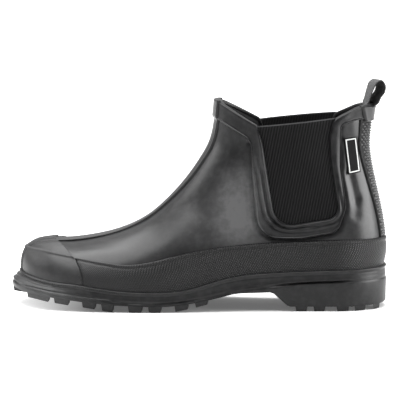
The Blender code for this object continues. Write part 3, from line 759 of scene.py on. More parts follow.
# %% Furrow beside the binding, and the upper's wall
BINDING_OUTER = (
    (-20.0, 165.4, 0.0), (41.4, 130.5, 9.0), (42.4, 105.0, 60.0), (46.4, 56.4, 22.5), (80.0, 55.8, 60.0),
    (108.0, 60.6, 11.0), (114.2, 80.0, 16.0), (109.6, 108.0, 50.0), (109.5, 142.6, 5.0), (121.0, 145.4, 30.0),
    (160.0, 148.4, 0.0),
)
FURROW_DEEP, FURROW_HALF, FURROW_STEP = 1.45, 1.6, 0.5
FURROW_FIRST, FURROW_LAST = 1, 8


def furrow(x, z):
    """Depth of the furrow that follows the binding's outer edge round a gore, in the side view."""
    line, middles = rounded(BINDING_OUTER, closed=False)
    line = line[middles[FURROW_FIRST]:middles[FURROW_LAST]]
    run = run_length(line)
    at = np.arange(0, run[-1], FURROW_STEP)
    away = np.full_like(x, np.inf)
    for spot_x, spot_z in zip(*columns_at(run, line, at)):
        away = np.minimum(away, np.hypot(x - spot_x, z - spot_z))
    return FURROW_DEEP * bead(away, FURROW_HALF)


UPPER_AROUND, UPPER_RINGS, LOW_RINGS_CLOSER = 360, 120, 1.2
angle = once_round(UPPER_AROUND)
rise = np.linspace(0, 1, UPPER_RINGS) ** LOW_RINGS_CLOSER
grid = on_last(*np.meshgrid(angle, rise, indexing="ij"))
side_view = grid[..., 0], grid[..., 2]
upper = patch("rubber_upper", grid, creases(*side_view) - furrow(*side_view), -WALL, wrap=True)
cut_with(upper, side_cutter("opening", rounded(OPENING)[0]), "DIFFERENCE")
wear(upper, upper_rubber, ["upper"])

# %% [markdown]
# Binding round collar and gores
#
# One raised band follows the collar, runs down and round each gore and closes at the back. Its inner
# edge folds over the cut edge of the upper. The band is a section carried along a path: the path's two
# edges are drawn in the side view, brought onto the last, and joined at matching corners.

# %% Edges of the binding, on the last
BINDING_LIP = 1.0
INNER_KEYS = (0, 1, 3, 4, 5, 6, 8, 9, 10)
OUTER_KEYS = (0, 1, 2, 3, 5.5, 7, 8, 9, 10)
BINDING_STEP, STRETCH_LEAST, STRETCH_SAMPLES = 1.15, 4, 900


def edge_on_last(corners, keys):
    """An edge drawn in the side view as stretches of angle and rise between its key corners."""
    points, middles = rounded(corners, closed=False)
    run = run_length(points)
    marks = np.interp(keys, np.arange(len(middles)), run[middles])
    stretches = []
    for first, last in zip(marks[:-1], marks[1:]):
        at = np.linspace(first, last, STRETCH_SAMPLES)
        share, rise = chart_of(*columns_at(run, points, at))
        inside = (share >= 0) & (share <= 1)
        spots = np.stack((np.arccos(1 - 2 * np.clip(share, 0, 1)), rise), axis=1)[inside]
        if share[0] < 0:
            spots[0, 0] = 0.0
        if share[-1] > 1:
            spots[-1, 0] = math.pi
        stretches.append(spots)
    return stretches


def even_steps(spots, count):
    """The same line of angle and rise at even distances on the last."""
    run = run_length(on_last(spots[:, 0], spots[:, 1]))
    at = np.linspace(0, run[-1], count)
    return np.stack(columns_at(run, spots, at), axis=1)


opening_inner = grown(OPENING, -BINDING_LIP)[1:-1]
inner_edge, outer_edge, stretch_of = [], [], []
for number, (inner, outer) in enumerate(zip(edge_on_last(opening_inner, INNER_KEYS),
                                            edge_on_last(BINDING_OUTER, OUTER_KEYS))):
    length = max(run_length(on_last(*inner.T))[-1], run_length(on_last(*outer.T))[-1])
    count = max(STRETCH_LEAST, int(length / BINDING_STEP))
    inner_edge.append(even_steps(inner, count)[:-1])
    outer_edge.append(even_steps(outer, count)[:-1])
    stretch_of.append(number + np.arange(count - 1) / (count - 1))
    if number == len(INNER_KEYS) - 2:
        inner_edge.append(even_steps(inner, count)[-1:])
        outer_edge.append(even_steps(outer, count)[-1:])
        stretch_of.append(np.array([number + 1.0]))
inner_edge, outer_edge, stretch_of = map(np.concatenate, (inner_edge, outer_edge, stretch_of))


def both_sides(edge):
    """The line on the outer side, then back along the inner side, as one closed loop."""
    other = edge[-2:0:-1].copy()
    other[:, 0] = 2 * math.pi - other[:, 0]
    return np.concatenate((edge, other))


inner_edge, outer_edge = both_sides(inner_edge), both_sides(outer_edge)
stretch_of = np.concatenate((stretch_of, stretch_of[-2:0:-1]))
print("binding path:", len(inner_edge), "steps")

# %% Section of the binding
TOP_STEPS = 44
BINDING_HIGH, BINDING_SLOPE, BINDING_LEAST, SUNK = 1.75, 0.25, 0.02, 0.06
GORE_PART, GORE_FRONT_PART, REAR_PART = (1.0, 0.5, 6.2, 0.5), (1.35, 0.8, 4.2, 0.9), (4.0, 0.6, 6.8, 0.5)
BOTTOM_FROM, BOTTOM_SOFT = 2.7, 0.6
LIP_AT, LIP_HALF, LIP_HIGH, LIP_GORE_HIGH = 1.6, 1.2, 0.08, 0.7
FOLDS = ((4.2, 0.7, 0.9, -1.2, 0.45), (6.2, 1.2, 1.0, 0.95, 0.45), (8.6, 1.8, 0.8, -1.2, 0.85))
REAR_CROWN, REAR_FULLNESS = 0.7, 1.2
EDGE_AT, EDGE_HALF, EDGE_HIGH, EDGE_COLLAR_HIGH = 1.0, 0.6, 0.6, 0.1
ROUND_COLLAR, ROUND_GORE, ROUND_OUTER, ROUND_START = 0.45, 0.85, 0.8, 0.15

share = 0.5 - 0.5 * np.cos(np.linspace(0, math.pi, TOP_STEPS))
chart = inner_edge[:, None, :] + (outer_edge - inner_edge)[:, None, :] * share[None, :, None]
grid = on_last(chart[..., 0], chart[..., 1])
out = straight_out(grid, wrap=True)
width = np.sum(np.linalg.norm(np.diff(grid, axis=1), axis=-1), axis=1)[:, None]
across = share[None, :] * width
stage = stretch_of[:, None]


def along_path(start, soft_start, end, soft_end):
    """1 on a part of the path, given by the stretches where it starts and ends, with soft ends."""
    return ease((stage - start) / soft_start) * ease((end - stage) / soft_end)


on_gore, on_gore_front, on_rear = (along_path(*part) for part in (GORE_PART, GORE_FRONT_PART, REAR_PART))
on_bottom = ease((stage - BOTTOM_FROM) / BOTTOM_SOFT)
height = BINDING_HIGH - BINDING_SLOPE * share[None, :]
height = height + (LIP_HIGH + LIP_GORE_HIGH * on_gore * (1 - on_rear)) * bead(across - LIP_AT, LIP_HALF)
for at, nearer, half, lift, lost in FOLDS:
    fold = lift * bead(across - at + nearer * on_bottom, half)
    height = height + on_gore_front * (1 - lost * on_bottom) * fold
height = height + on_rear * REAR_CROWN * np.sin(math.pi * share[None, :]) ** REAR_FULLNESS
edge_high = EDGE_HIGH + EDGE_COLLAR_HIGH * (1 - on_gore)
height = height + edge_high * bead(width - across - EDGE_AT, EDGE_HALF)
height = height * rounding(across + ROUND_START, ROUND_COLLAR + ROUND_GORE * on_gore)
height = height * rounding(width - across + SUNK, ROUND_OUTER)
top = grid + out * np.maximum(height, BINDING_LEAST)[..., None]
print("binding is up to", round(float(height.max()), 1), "mm high")

# %% Fold over the cut edge
FOLD_SECTION = (
    (1.05, -0.06), (1.05, -2.25), (2.6, -2.3), (2.9, -2.55), (2.6, -2.8), (0.9, -2.8), (0.3, -2.5),
    (0.02, -1.7), (0.0, -0.6),
)


def lay_section(spots):
    """Points of the section in millimetres from the inner edge and above the last."""
    rings = []
    for from_edge, lift in spots:
        at = np.clip(from_edge / width, 0, 1)
        foot = inner_edge + (outer_edge - inner_edge) * at
        column = np.round(np.interp(at[:, 0], share, np.arange(TOP_STEPS))).astype(int)
        rings.append(on_last(foot[:, 0], foot[:, 1]) + out[np.arange(len(foot)), column] * lift)
    return np.stack(rings, axis=1)


foot = (grid[:, -1] - out[:, -1] * SUNK)[:, None]
rings = np.concatenate((top, foot, lay_section(FOLD_SECTION)), axis=1)
binding = swept("collar_and_gore_binding", rings)
wear(binding, binding_rubber, ["collar_binding"])

# %% [markdown]
# Foxing and toe cap
#
# The foxing is a strip of rubber wound round the foot of the upper, rolled with a fine crosshatch. The
# cap is a thicker piece over the toe, stepped along the foxing's line, with the front strip's ridge
# carried down over it. Both are patches between the feather line and an edge drawn in the side view.

# %% Edge lines of foxing and cap
FOXING_TOP = table(
    "x z",
    (-150, 43.4), (-134, 42.8), (-118, 41.7), (-101, 39.6), (-86, 38.1), (-74, 36.9), (-52, 35.6),
    (-35, 38.1), (-20, 42.0), (3, 47.3), (41, 51.9), (79, 53.9), (120, 55.0), (160, 54.0),
)
CAP_EDGE = table(
    "x z",
    (-115.5, 62.0), (-114.0, 52.4), (-111.4, 49.2), (-106.0, 46.8), (-101.7, 44.6), (-98.1, 42.0),
    (-95.1, 39.8), (-92.4, 37.2), (-89.3, 31.8), (-87.5, 25.3), (-86.2, 8.0),
)
CAP_EDGE_POINTS, CAP_EDGE_SMOOTHINGS = 1500, 60


def foxing_line(x):
    return read(FOXING_TOP, "z", x)


at = np.linspace(0, 1, CAP_EDGE_POINTS)
edge_x, edge_z = (np.interp(at, np.linspace(0, 1, len(CAP_EDGE[way])), CAP_EDGE[way]) for way in "xz")
for _ in range(CAP_EDGE_SMOOTHINGS):
    for way in (edge_x, edge_z):
        way[1:-1] = (way[:-2] + way[1:-1] * 2 + way[2:]) / 4
cap_share, cap_rise = chart_of(edge_x, edge_z)
shown = (cap_share >= 0) & (edge_z >= feather(edge_x))
cap_angle = np.arccos(1 - 2 * np.clip(cap_share[shown], 0, 1))
cap_rise = cap_rise[shown]
cap_angle[0] = 0.0
cap_rise[-1] = 0.0
print("cap reaches back to", round(float(math.degrees(cap_angle[-1])), 1), "degrees round the last")

# %% Foxing
FOXING_HIGH, FOXING_LEAST, FOXING_TOP_ROUND, FOXING_END_ROUND, FOXING_END_START = 2.3, 0.04, 1.1, 0.8, 0.25
FOXING_BEADS = ((0.35, 1.6, 1.1), (-0.3, 3.6, 1.0))
FOXING_AROUND, FOXING_ROWS, TOP_ROWS_CLOSER, FOXING_ROUNDS, FOXING_FIRST_X = 420, 44, 0.9, 30, -20.0
rows = np.linspace(0, 1, FOXING_ROWS) ** TOP_ROWS_CLOSER
share, level = np.meshgrid(np.linspace(0, 2, FOXING_AROUND), rows, indexing="ij")
side = np.where(share < 1, -1.0, 1.0)
share = np.sin(math.pi / 2 * np.minimum(share, 2 - share))
x = np.full_like(share, FOXING_FIRST_X)
for _ in range(FOXING_ROUNDS):
    z = feather(x) + (foxing_line(x) - feather(x)) * level
    start = np.interp(z, edge_z[::-1], edge_x[::-1])
    x = start + (read(BACK, "x", z) - start) * share
middle, half = side_of_last(x, z, side)
grid = np.stack((x, middle + side * np.where(share > 1 - 1e-9, 0, half), z), axis=-1)
up = grid_run(grid, 1)
round_foot = grid_run(grid, 0)
from_top = up[:, -1:] - up
from_end = np.minimum(round_foot, round_foot[-1:] - round_foot)
height = FOXING_HIGH + beads(from_top, FOXING_BEADS)
height = height * rounding(from_top + RIM_START, FOXING_TOP_ROUND)
height = height * rounding(from_end + FOXING_END_START, FOXING_END_ROUND)
flat = np.stack((round_foot, up), axis=-1)
foxing = patch("foxing_strip", grid, np.maximum(height, FOXING_LEAST), CLEAR, flat=flat)
print("foxing is", round(float(round_foot[-1].max())), "mm round")

# %% Crosshatch rolled into the foxing
HATCH_PITCH, HATCH_SLOPE, HATCH_DEPTH, HATCH_POWER = 1.9, 0.75, 0.34, 0.7
# Colours of the crosshatch's grooves and ridges: painted shade and painted light on the relief.
HATCH_DARK, HATCH_PALE = (0.002, 0.002, 0.0021), (0.022, 0.022, 0.0225)
HATCH_GRAIN, GRAIN_SHARE, GLOSS_SIZE, GLOSS_SPREAD, GLOSS_LEAST = 0.6, 0.2, 18.0, 0.14, 0.30
TOE_FLAT_X, TOE_HATCH_X, TOE_SMOOTHER, TOE_PALER = -100.0, -10.0, 0.6, 0.7
crosshatch_rubber = Finish("crosshatched black rubber", (0.010, 0.010, 0.0104), 0.38, specular=0.24)
place = crosshatch_rubber.place()
run, climb = crosshatch_rubber.flat()
rolls = [(run + climb * slope).wave(HATCH_PITCH) for slope in (HATCH_SLOPE, -HATCH_SLOPE)]
hatch = (rolls[0] * rolls[1]).math("POWER", HATCH_POWER)
to_toe = 1 - crosshatch_rubber.split(place)[0].step(TOE_FLAT_X, TOE_HATCH_X)
grain = crosshatch_rubber.noise(place, HATCH_GRAIN) * GRAIN_SHARE
crosshatch_rubber.bump(hatch * (1 - to_toe * TOE_SMOOTHER) + grain, HATCH_DEPTH)
gloss = crosshatch_rubber.noise(place, GLOSS_SIZE) * GLOSS_SPREAD + GLOSS_LEAST
crosshatch_rubber.feed("Roughness", gloss)
# The crosshatch's grooves are painted darker and its ridges paler: painted shade and light.
rolled = crosshatch_rubber.shade(HATCH_DARK, HATCH_PALE, hatch)
crosshatch_rubber.feed("Base Color", crosshatch_rubber.shade(rolled, HATCH_PALE, to_toe * TOE_PALER))
wear(foxing, crosshatch_rubber, ["foxing"])

# %% Toe cap
CAP_STRIP_STEPS, CAP_SIDE_STEPS, CAP_ROWS, CAP_STRIP_REACH, CAP_FINE = 64, 110, 90, 12.0, 900
edge_spots = on_last(cap_angle, cap_rise)
edge_run = run_length(edge_spots)
start = np.interp(CAP_STRIP_REACH, np.abs(edge_spots[:, 1] - edge_spots[0, 1]), edge_run)
spread = np.interp(np.linspace(start, edge_run[-1], CAP_SIDE_STEPS), edge_run, cap_angle)
spread = (spread - spread[0]) / (spread[-1] - spread[0])
fine = np.linspace(0, cap_angle[-1], CAP_FINE)
level = np.linspace(0, 1, CAP_ROWS)
halves = []
for side in (1.0, -1.0):
    spots = on_last(side * fine[:, None], np.interp(fine, cap_angle, cap_rise)[:, None] * level)
    aside = np.abs(spots[..., 1] - read(PLAN, "centre", spots[..., 0]))
    columns = []
    for row in range(CAP_ROWS):
        strip = np.interp(np.linspace(0, CAP_STRIP_REACH, CAP_STRIP_STEPS), aside[:, row], fine)
        columns.append(np.concatenate((strip, (strip[-1] + (fine[-1] - strip[-1]) * spread)[1:])))
    halves.append(side * np.stack(columns, axis=1))
angle = np.concatenate((halves[1][:0:-1], halves[0]))
grid = on_last(angle, np.interp(np.abs(angle), cap_angle, cap_rise) * level)
print("cap grid:", grid.shape[:2])

# %% Relief of the toe cap
CAP_HIGH, CAP_LOW_EXTRA, CAP_STEP, CAP_ROUND = 2.1, 0.7, 2.0, 1.2
CAP_LINE_BEAD = ((0.9, 0.2, 0.7),)
CAP_SWELL, CAP_SWELL_RISE, CAP_SWELL_FROM, CAP_SWELL_SPAN = 1.3, 7.0, 1.0, 9.0
CAP_STRIP_HALF, CAP_STRIP_HIGH = 8.6, 0.4
CAP_STRIP_BEADS = ((0.9, 0.5, 0.55), (-0.5, -1.1, 0.8))
CAP_NUB, CAP_NUB_HIGH, CAP_NUB_HALF = (-93.4, 39.0), 0.7, 1.5
SLANT_LEAST, FLAT_SHIFT = 0.25, 60.0
up = grid_run(grid, 1)
from_edge = (up[:, -1:] - up) * np.minimum(1, SLANT_LEAST + np.abs(np.cos(angle)))
below = foxing_line(grid[..., 0]) - grid[..., 2]
middle = read(PLAN, "centre", grid[..., 0])
from_strip = CAP_STRIP_HALF - np.abs(grid[..., 1] - middle)
swell = ease(-below / CAP_SWELL_RISE) * ease((-from_strip - CAP_SWELL_FROM) / CAP_SWELL_SPAN)
nub = np.hypot(grid[..., 0] - CAP_NUB[0], grid[..., 2] - CAP_NUB[1])
height = CAP_HIGH + CAP_LOW_EXTRA * ease(below / CAP_STEP + 0.5) + beads(below, CAP_LINE_BEAD)
height = height + CAP_SWELL * swell + CAP_NUB_HIGH * bead(nub, CAP_NUB_HALF)
height = height + CAP_STRIP_HIGH * ease(from_strip) + beads(from_strip, CAP_STRIP_BEADS)
height = height * rounding(from_edge + RIM_START, CAP_ROUND)
flat = np.stack((from_strip, below), axis=-1) + FLAT_SHIFT
cap = patch("toe_cap_overlay", grid, np.maximum(height, THINNEST), CLEAR, flat=flat)
print("cap is up to", round(float(height.max()), 1), "mm high")

# %% Finish of the toe cap
# Painted highlights: pale lines painted along the cap's strip edges and along its ridge.
RIDGE_LIGHT_FULL, RIDGE_LIGHT_EDGE_AT, RIDGE_LIGHT_EDGE_END, RIDGE_LIGHT_LINE_AT, RIDGE_LIGHT_LINE_END = 0.3, 0.4, 1.1, -0.1, 0.9
RIDGE_LIGHT_EDGE_PALE, RIDGE_LIGHT_LINE_PALE = 1.3, 0.35


def painted_ridge_highlights(finish):
    """Painted highlights: the strip's edges and the ridge along the foxing's line are painted paler."""
    to_strip, under_line = finish.flat()
    edge = 1 - (to_strip - (FLAT_SHIFT + RIDGE_LIGHT_EDGE_AT)).math("ABSOLUTE").step(RIDGE_LIGHT_FULL, RIDGE_LIGHT_EDGE_END)
    ridge = 1 - (under_line - (FLAT_SHIFT + RIDGE_LIGHT_LINE_AT)).math("ABSOLUTE").step(RIDGE_LIGHT_FULL, RIDGE_LIGHT_LINE_END)
    return edge * RIDGE_LIGHT_EDGE_PALE + ridge * RIDGE_LIGHT_LINE_PALE


cap_rubber = rubber("toe cap rubber", (0.017, 0.017, 0.0174), 0.42, 0.08, 0.55, 0.05, painted_light=painted_ridge_highlights)
wear(cap, cap_rubber, ["toe_cap"])

# %% [markdown]
# Strips on the centre lines
#
# A flat strip with beaded edges covers the seam over the instep, and a knurled strip covers the one up
# the heel. Near a centre line the side view is too steep to draw in, so these two are laid out by the
# distance from the centre instead, and the depth below the crest is searched for.

# %% Front strip
STRIP_HIGH, STRIP_OVER, STRIP_ROUND, STRIP_DEEPEST = 1.2, 1.7, 1.1, 30.0
STRIP_BEAD = ((0.3, 1.3, 0.6),)
COLLAR_AHEAD, COLLAR_SOFT, COLLAR_ROUND, COLLAR_LIFT, COLLAR_START = 1.6, 1.8, 1.0, 0.9, 0.3
STRIP_HALF = table("x half", (-115, 8.6), (-75, 9.2), (-40, 10.5), (0, 12.0), (20, 12.5))
STRIP_STEPS, STRIP_ACROSS, STRIP_EDGE_CLOSER, DEPTH_HALVINGS = 230, 50, 1.5, 36


def search_depth(reach, half_at, wanted):
    """Depth at which the half width reaches the wanted distance from the centre line."""
    low, high = np.zeros_like(wanted), np.full_like(wanted, reach)
    for _ in range(DEPTH_HALVINGS):
        depth = (low + high) / 2
        short = half_at(depth) < wanted
        low, high = np.where(short, depth, low), np.where(short, high, depth)
    return (low + high) / 2


marks = cap_rise[0], outer_edge[0, 1], inner_edge[0, 1]
first, over, last = np.interp(marks, crest_share, np.arange(PROFILE_SAMPLES))
row = np.linspace(first, last, STRIP_STEPS)
skip = len(CREST) - PROFILE_SAMPLES
number = np.arange(len(CREST))
crest, inward = (np.stack(columns_at(number, line, row + skip), axis=1) for line in (CREST, CREST_IN))
aside = np.linspace(-1, 1, STRIP_ACROSS)
half = read(STRIP_HALF, "half", crest[:, 0])[:, None]
aside = np.sign(aside) * (1 - (1 - np.abs(aside)) ** STRIP_EDGE_CLOSER) * half
crest_2d = np.repeat(crest[:, None], STRIP_ACROSS, axis=1)
inward_2d = np.repeat(inward[:, None], STRIP_ACROSS, axis=1)
side = np.where(aside < 0, -1.0, 1.0)
wanted = np.abs(aside)


def strip_half(depth):
    """Half width of the last at a depth below the crest, for each point of the strip."""
    under = crest_2d + inward_2d * depth[..., None]
    return side_of_last(under[..., 0], under[..., 1], side)[1]


spot = crest_2d + inward_2d * search_depth(STRIP_DEEPEST, strip_half, wanted)[..., None]
middle, _ = side_of_last(spot[..., 0], spot[..., 1], side)
grid = np.stack((spot[..., 0], middle + aside, spot[..., 1]), axis=-1)
from_edge = half - wanted
step = (1 - crest_share[0]) * FRONT_RUN[-1] / PROFILE_SAMPLES
on_collar = ease(((row - over) * step + COLLAR_AHEAD) / COLLAR_SOFT)[:, None]
from_rim = ((last - row) * step)[:, None]
height = (STRIP_HIGH + beads(from_edge, STRIP_BEAD)) * rounding(from_edge + RIM_START, STRIP_ROUND)
to_rim = np.minimum(from_edge, from_rim + COLLAR_START)
height = height + STRIP_OVER * on_collar * rounding(to_rim, COLLAR_ROUND)
front_strip = patch("front_strip_band", grid, np.maximum(height, THINNEST), CLEAR + COLLAR_LIFT * on_collar)
wear(front_strip, satin_rubber, ["front_strip"])

# %% Heel strip base
HEEL_HALF = table("z half", (45, 12.5), (70, 13.0), (100, 13.6), (125, 14.2), (160, 14.2))
HEEL_LOW_Z, HEEL_TOP_Z, HEEL_HIGH, HEEL_ROUND, HEEL_DEEPEST = 54.6, 146.6, 1.0, 0.9, 40.0
HEEL_BEAD = ((0.35, 0.9, 0.6),)
HEEL_STEPS, HEEL_ACROSS, HEEL_START = 120, 44, 0.1


def behind_last(z, y):
    """Points up the back of the last, from their height and their distance off the centre line."""
    side = np.where(y < 0, -1.0, 1.0)
    back = read(BACK, "x", z)
    depth = search_depth(HEEL_DEEPEST, lambda d: side_of_last(back - d, z, side)[1], np.abs(y))
    return np.stack((back - depth, y, z), axis=-1)


levels = np.linspace(HEEL_LOW_Z, HEEL_TOP_Z, HEEL_STEPS)
z, part = np.meshgrid(levels, np.linspace(-1, 1, HEEL_ACROSS), indexing="ij")
half = read(HEEL_HALF, "half", z)
grid = behind_last(z, part * half)
from_edge = (1 - np.abs(part)) * half
height = HEEL_HIGH * rounding(from_edge + HEEL_START, HEEL_ROUND) + beads(from_edge, HEEL_BEAD)
heel_strip = patch("heel_strip_base", grid, height, CLEAR)
# The strip's ground is painted near black: painted shade along its edges and between the diamonds.
strip_ground = rubber("heel strip ground with painted shade", (0.003, 0.003, 0.0032), 0.5, 0.1, 0.5, 0.02, 0.12)
wear(heel_strip, strip_ground, ["heel_strip"])

# %% [markdown]
# Knurling
#
# The heel strip is rolled with small raised diamonds. They all have one shape, so Geometry Nodes set a
# four-sided point on every crossing of a slanted lattice. The lattice is a mesh of loose vertices that
# carry two directions, straight out and up the strip, and the nodes turn each point by them.

# %% A tree that sets one shape on many points
def start_tree(name, sizes):
    """An empty tree with a Geometry input, named size inputs and a Geometry output."""
    tree = bpy.data.node_groups.new(name, "GeometryNodeTree")
    tree.interface.new_socket("Geometry", in_out="INPUT", socket_type="NodeSocketGeometry")
    for label, value in sizes.items():
        tree.interface.new_socket(label, in_out="INPUT", socket_type="NodeSocketFloat").default_value = value
    tree.interface.new_socket("Geometry", in_out="OUTPUT", socket_type="NodeSocketGeometry")
    given = add_node(tree, "NodeGroupInput")
    return tree, {item.name: Wire(tree, item) for item in given.outputs if item.name}


def end_tree(tree, geometry, material):
    """Close a tree with Realize Instances and Set Material."""
    real = add_node(tree, "GeometryNodeRealizeInstances", values={"Geometry": geometry})
    dressed = add_node(tree, "GeometryNodeSetMaterial",
                       values={"Geometry": Wire(tree, real.outputs[0]), "Material": material})
    result = add_node(tree, "NodeGroupOutput")
    tree.links.new(dressed.outputs[0], result.inputs["Geometry"])


def grow_piece(name, seed, tree, sizes):
    """Run a tree on a seed mesh with its sizes set, and keep the result as a plain mesh."""
    modifier = seed.modifiers.new(tree.name, "NODES")
    modifier.node_group = tree
    for item in tree.interface.items_tree:
        if item.in_out == "INPUT" and item.name in sizes:
            modifier[item.identifier] = sizes[item.name]
    mesh = bpy.data.meshes.new_from_object(seed.evaluated_get(bpy.context.evaluated_depsgraph_get()))
    bpy.data.objects.remove(seed, do_unlink=True)
    mesh.name = name
    piece = bpy.data.objects.new(name, mesh)
    bpy.context.scene.collection.objects.link(piece)
    return piece


def named(tree, label, kind="FLOAT_VECTOR"):
    made = add_node(tree, "GeometryNodeInputNamedAttribute", {"data_type": kind}, {"Name": label})
    return Wire(tree, made.outputs[0])


def point_seed(name, points, **directions):
    """A mesh of loose vertices that carry named vectors."""
    mesh = bpy.data.meshes.new(name)
    mesh.from_pydata((points * MM).tolist(), [], [])
    for label, values in directions.items():
        column = mesh.attributes.new(label, "FLOAT_VECTOR", "POINT")
        column.data.foreach_set("vector", np.ascontiguousarray(values, dtype=np.float32).ravel())
    seed = bpy.data.objects.new(name, mesh)
    bpy.context.scene.collection.objects.link(seed)
    return seed


def blunt_points(name, top_share, material, follow=None):
    """A tree that sets a blunt four-sided point on each vertex, straight out and turned along a vector."""
    tree, given = start_tree(name, {"Width": MM, "Height": MM})
    point = add_node(tree, "GeometryNodeMeshCone", {"fill_type": "NGON"}, {
        "Vertices": 4, "Radius Top": given["Width"] * top_share, "Radius Bottom": given["Width"],
        "Depth": given["Height"]})
    turn = add_node(tree, "FunctionNodeAlignRotationToVector", {"axis": "Z"}, {"Vector": named(tree, "out")})
    if follow is not None:
        turn = add_node(tree, "FunctionNodeAlignRotationToVector", {"axis": "Y", "pivot_axis": "Z"}, {
            "Rotation": Wire(tree, turn.outputs[0]), "Vector": named(tree, follow)})
    placed = add_node(tree, "GeometryNodeInstanceOnPoints", values={
        "Points": given["Geometry"], "Instance": Wire(tree, point.outputs[0]),
        "Rotation": Wire(tree, turn.outputs[0])})
    end_tree(tree, Wire(tree, placed.outputs[0]), material)
    return tree


print("trees can be built")

# %% Knurled diamonds on the heel strip
KNURL_WIDE, KNURL_TALL, KNURL_HIGH, KNURL_FILL, KNURL_TOP_SHARE = 1.7, 2.0, 1.3, 0.6, 0.3
KNURL_FOOT, KNURL_HEAD, KNURL_MARGIN, KNURL_SUNK = 1.6, 1.2, 2.3, 0.1
PROBE_ASIDE, PROBE_UP = 0.4, 0.6
# The diamonds are painted pale grey: a painted highlight, as on points that catch the light.
knurl_rubber = rubber("knurl rubber with painted highlight", (0.12, 0.12, 0.1205), 0.34, 0.08, 0.5, 0.02)
knurl_tree = blunt_points("knurl points", KNURL_TOP_SHARE, knurl_rubber.material, follow="upward")
lattice = []
for row, z_row in enumerate(np.arange(HEEL_LOW_Z + KNURL_FOOT, HEEL_TOP_Z - KNURL_HEAD, KNURL_TALL)):
    room = float(read(HEEL_HALF, "half", np.array(z_row))) - KNURL_MARGIN
    reach = int(room / KNURL_WIDE) + 1
    for step in range(-reach, reach + 1):
        y = (step + 0.5 * (row % 2)) * 2 * KNURL_WIDE
        if abs(y) < room:
            lattice.append((z_row, y))
z, y = np.array(lattice).T
to_side = behind_last(z, y + PROBE_ASIDE) - behind_last(z, y - PROBE_ASIDE)
upward = behind_last(z + PROBE_UP, y) - behind_last(z - PROBE_UP, y)
out = np.cross(to_side, upward)
out /= np.linalg.norm(out, axis=1)[:, None]
seed = point_seed("knurl seed", behind_last(z, y) + out * (HEEL_HIGH - KNURL_SUNK), out=out, upward=upward)
knurl_sizes = {"Width": KNURL_WIDE * KNURL_FILL * MM, "Height": KNURL_HIGH * MM}
knurl = grow_piece("heel_strip_knurl", seed, knurl_tree, knurl_sizes)
wear(knurl, knurl_rubber, ())

# %% [markdown]
# Elastic gores
#
# The gores are woven elastic with fine slanted ribs. Each is a plain curved sheet first; a small tree
# then pushes its outer face out and in by a wave that runs across the ribs. The top edge is a turned
# hem, a little thicker than the cloth.

# %% Ribs as a tree
RIB_PITCH, RIB_DEPTH, RIB_SLANT, RIB_POWER = 2.15, 0.5, 0.2, 0.6
THREAD_PITCH, THREAD_SLANT, THREAD_DEPTH, THREAD_SHARE = 0.7, 0.15, 0.12, 0.4
HEM_FROM, HEM_FULL, HEM_PAINTED_HIGHLIGHT = -0.9, -0.6, (0.05, 0.05, 0.051)
GORE_TOP = ((44.8, 141.7), (105.4, 148.0))
HEM_SLOPE = (GORE_TOP[1][1] - GORE_TOP[0][1]) / (GORE_TOP[1][0] - GORE_TOP[0][0])
HEM_START = GORE_TOP[0][1] - GORE_TOP[0][0] * HEM_SLOPE

elastic = Finish("ribbed black elastic", (0.0065, 0.0065, 0.007), 0.85, specular=0.12)
run, climb = elastic.flat()
threads = (climb + run * THREAD_SLANT).wave(THREAD_PITCH)
ribs = (run - climb * RIB_SLANT + RIB_PITCH / 4).wave(RIB_PITCH)
woven = ribs * (threads * THREAD_SHARE + (1 - THREAD_SHARE))
cloth = elastic.shade((0.003, 0.003, 0.0031), (0.0135, 0.0135, 0.0139), woven)
# The hem is painted paler along its fold: a painted highlight.
hem = (climb - run * HEM_SLOPE - HEM_START).step(HEM_FROM, HEM_FULL)
elastic.feed("Base Color", elastic.shade(cloth, HEM_PAINTED_HIGHLIGHT, hem))
elastic.bump(threads, THREAD_DEPTH)

rib_sizes = {"Pitch": RIB_PITCH, "Depth": RIB_DEPTH * MM, "Slant": RIB_SLANT}
rib_tree, given = start_tree("elastic ribs", rib_sizes)
across_ribs = named(rib_tree, "run", "FLOAT") - named(rib_tree, "climb", "FLOAT") * given["Slant"]
phase = (across_ribs * (2 * math.pi) / given["Pitch"]).math("COSINE")
ridge = phase * 0.5 + 0.5
push = ridge.math("POWER", RIB_POWER) * given["Depth"] * named(rib_tree, "faces_out", "FLOAT")
shift = add_node(rib_tree, "ShaderNodeVectorMath", {"operation": "SCALE"},
                 {0: named(rib_tree, "out"), "Scale": push})
moved = add_node(rib_tree, "GeometryNodeSetPosition", values={
    "Geometry": given["Geometry"], "Offset": Wire(rib_tree, shift.outputs[0])})
end_tree(rib_tree, Wire(rib_tree, moved.outputs[0]), elastic.material)
print("a rib every", RIB_PITCH, "mm")

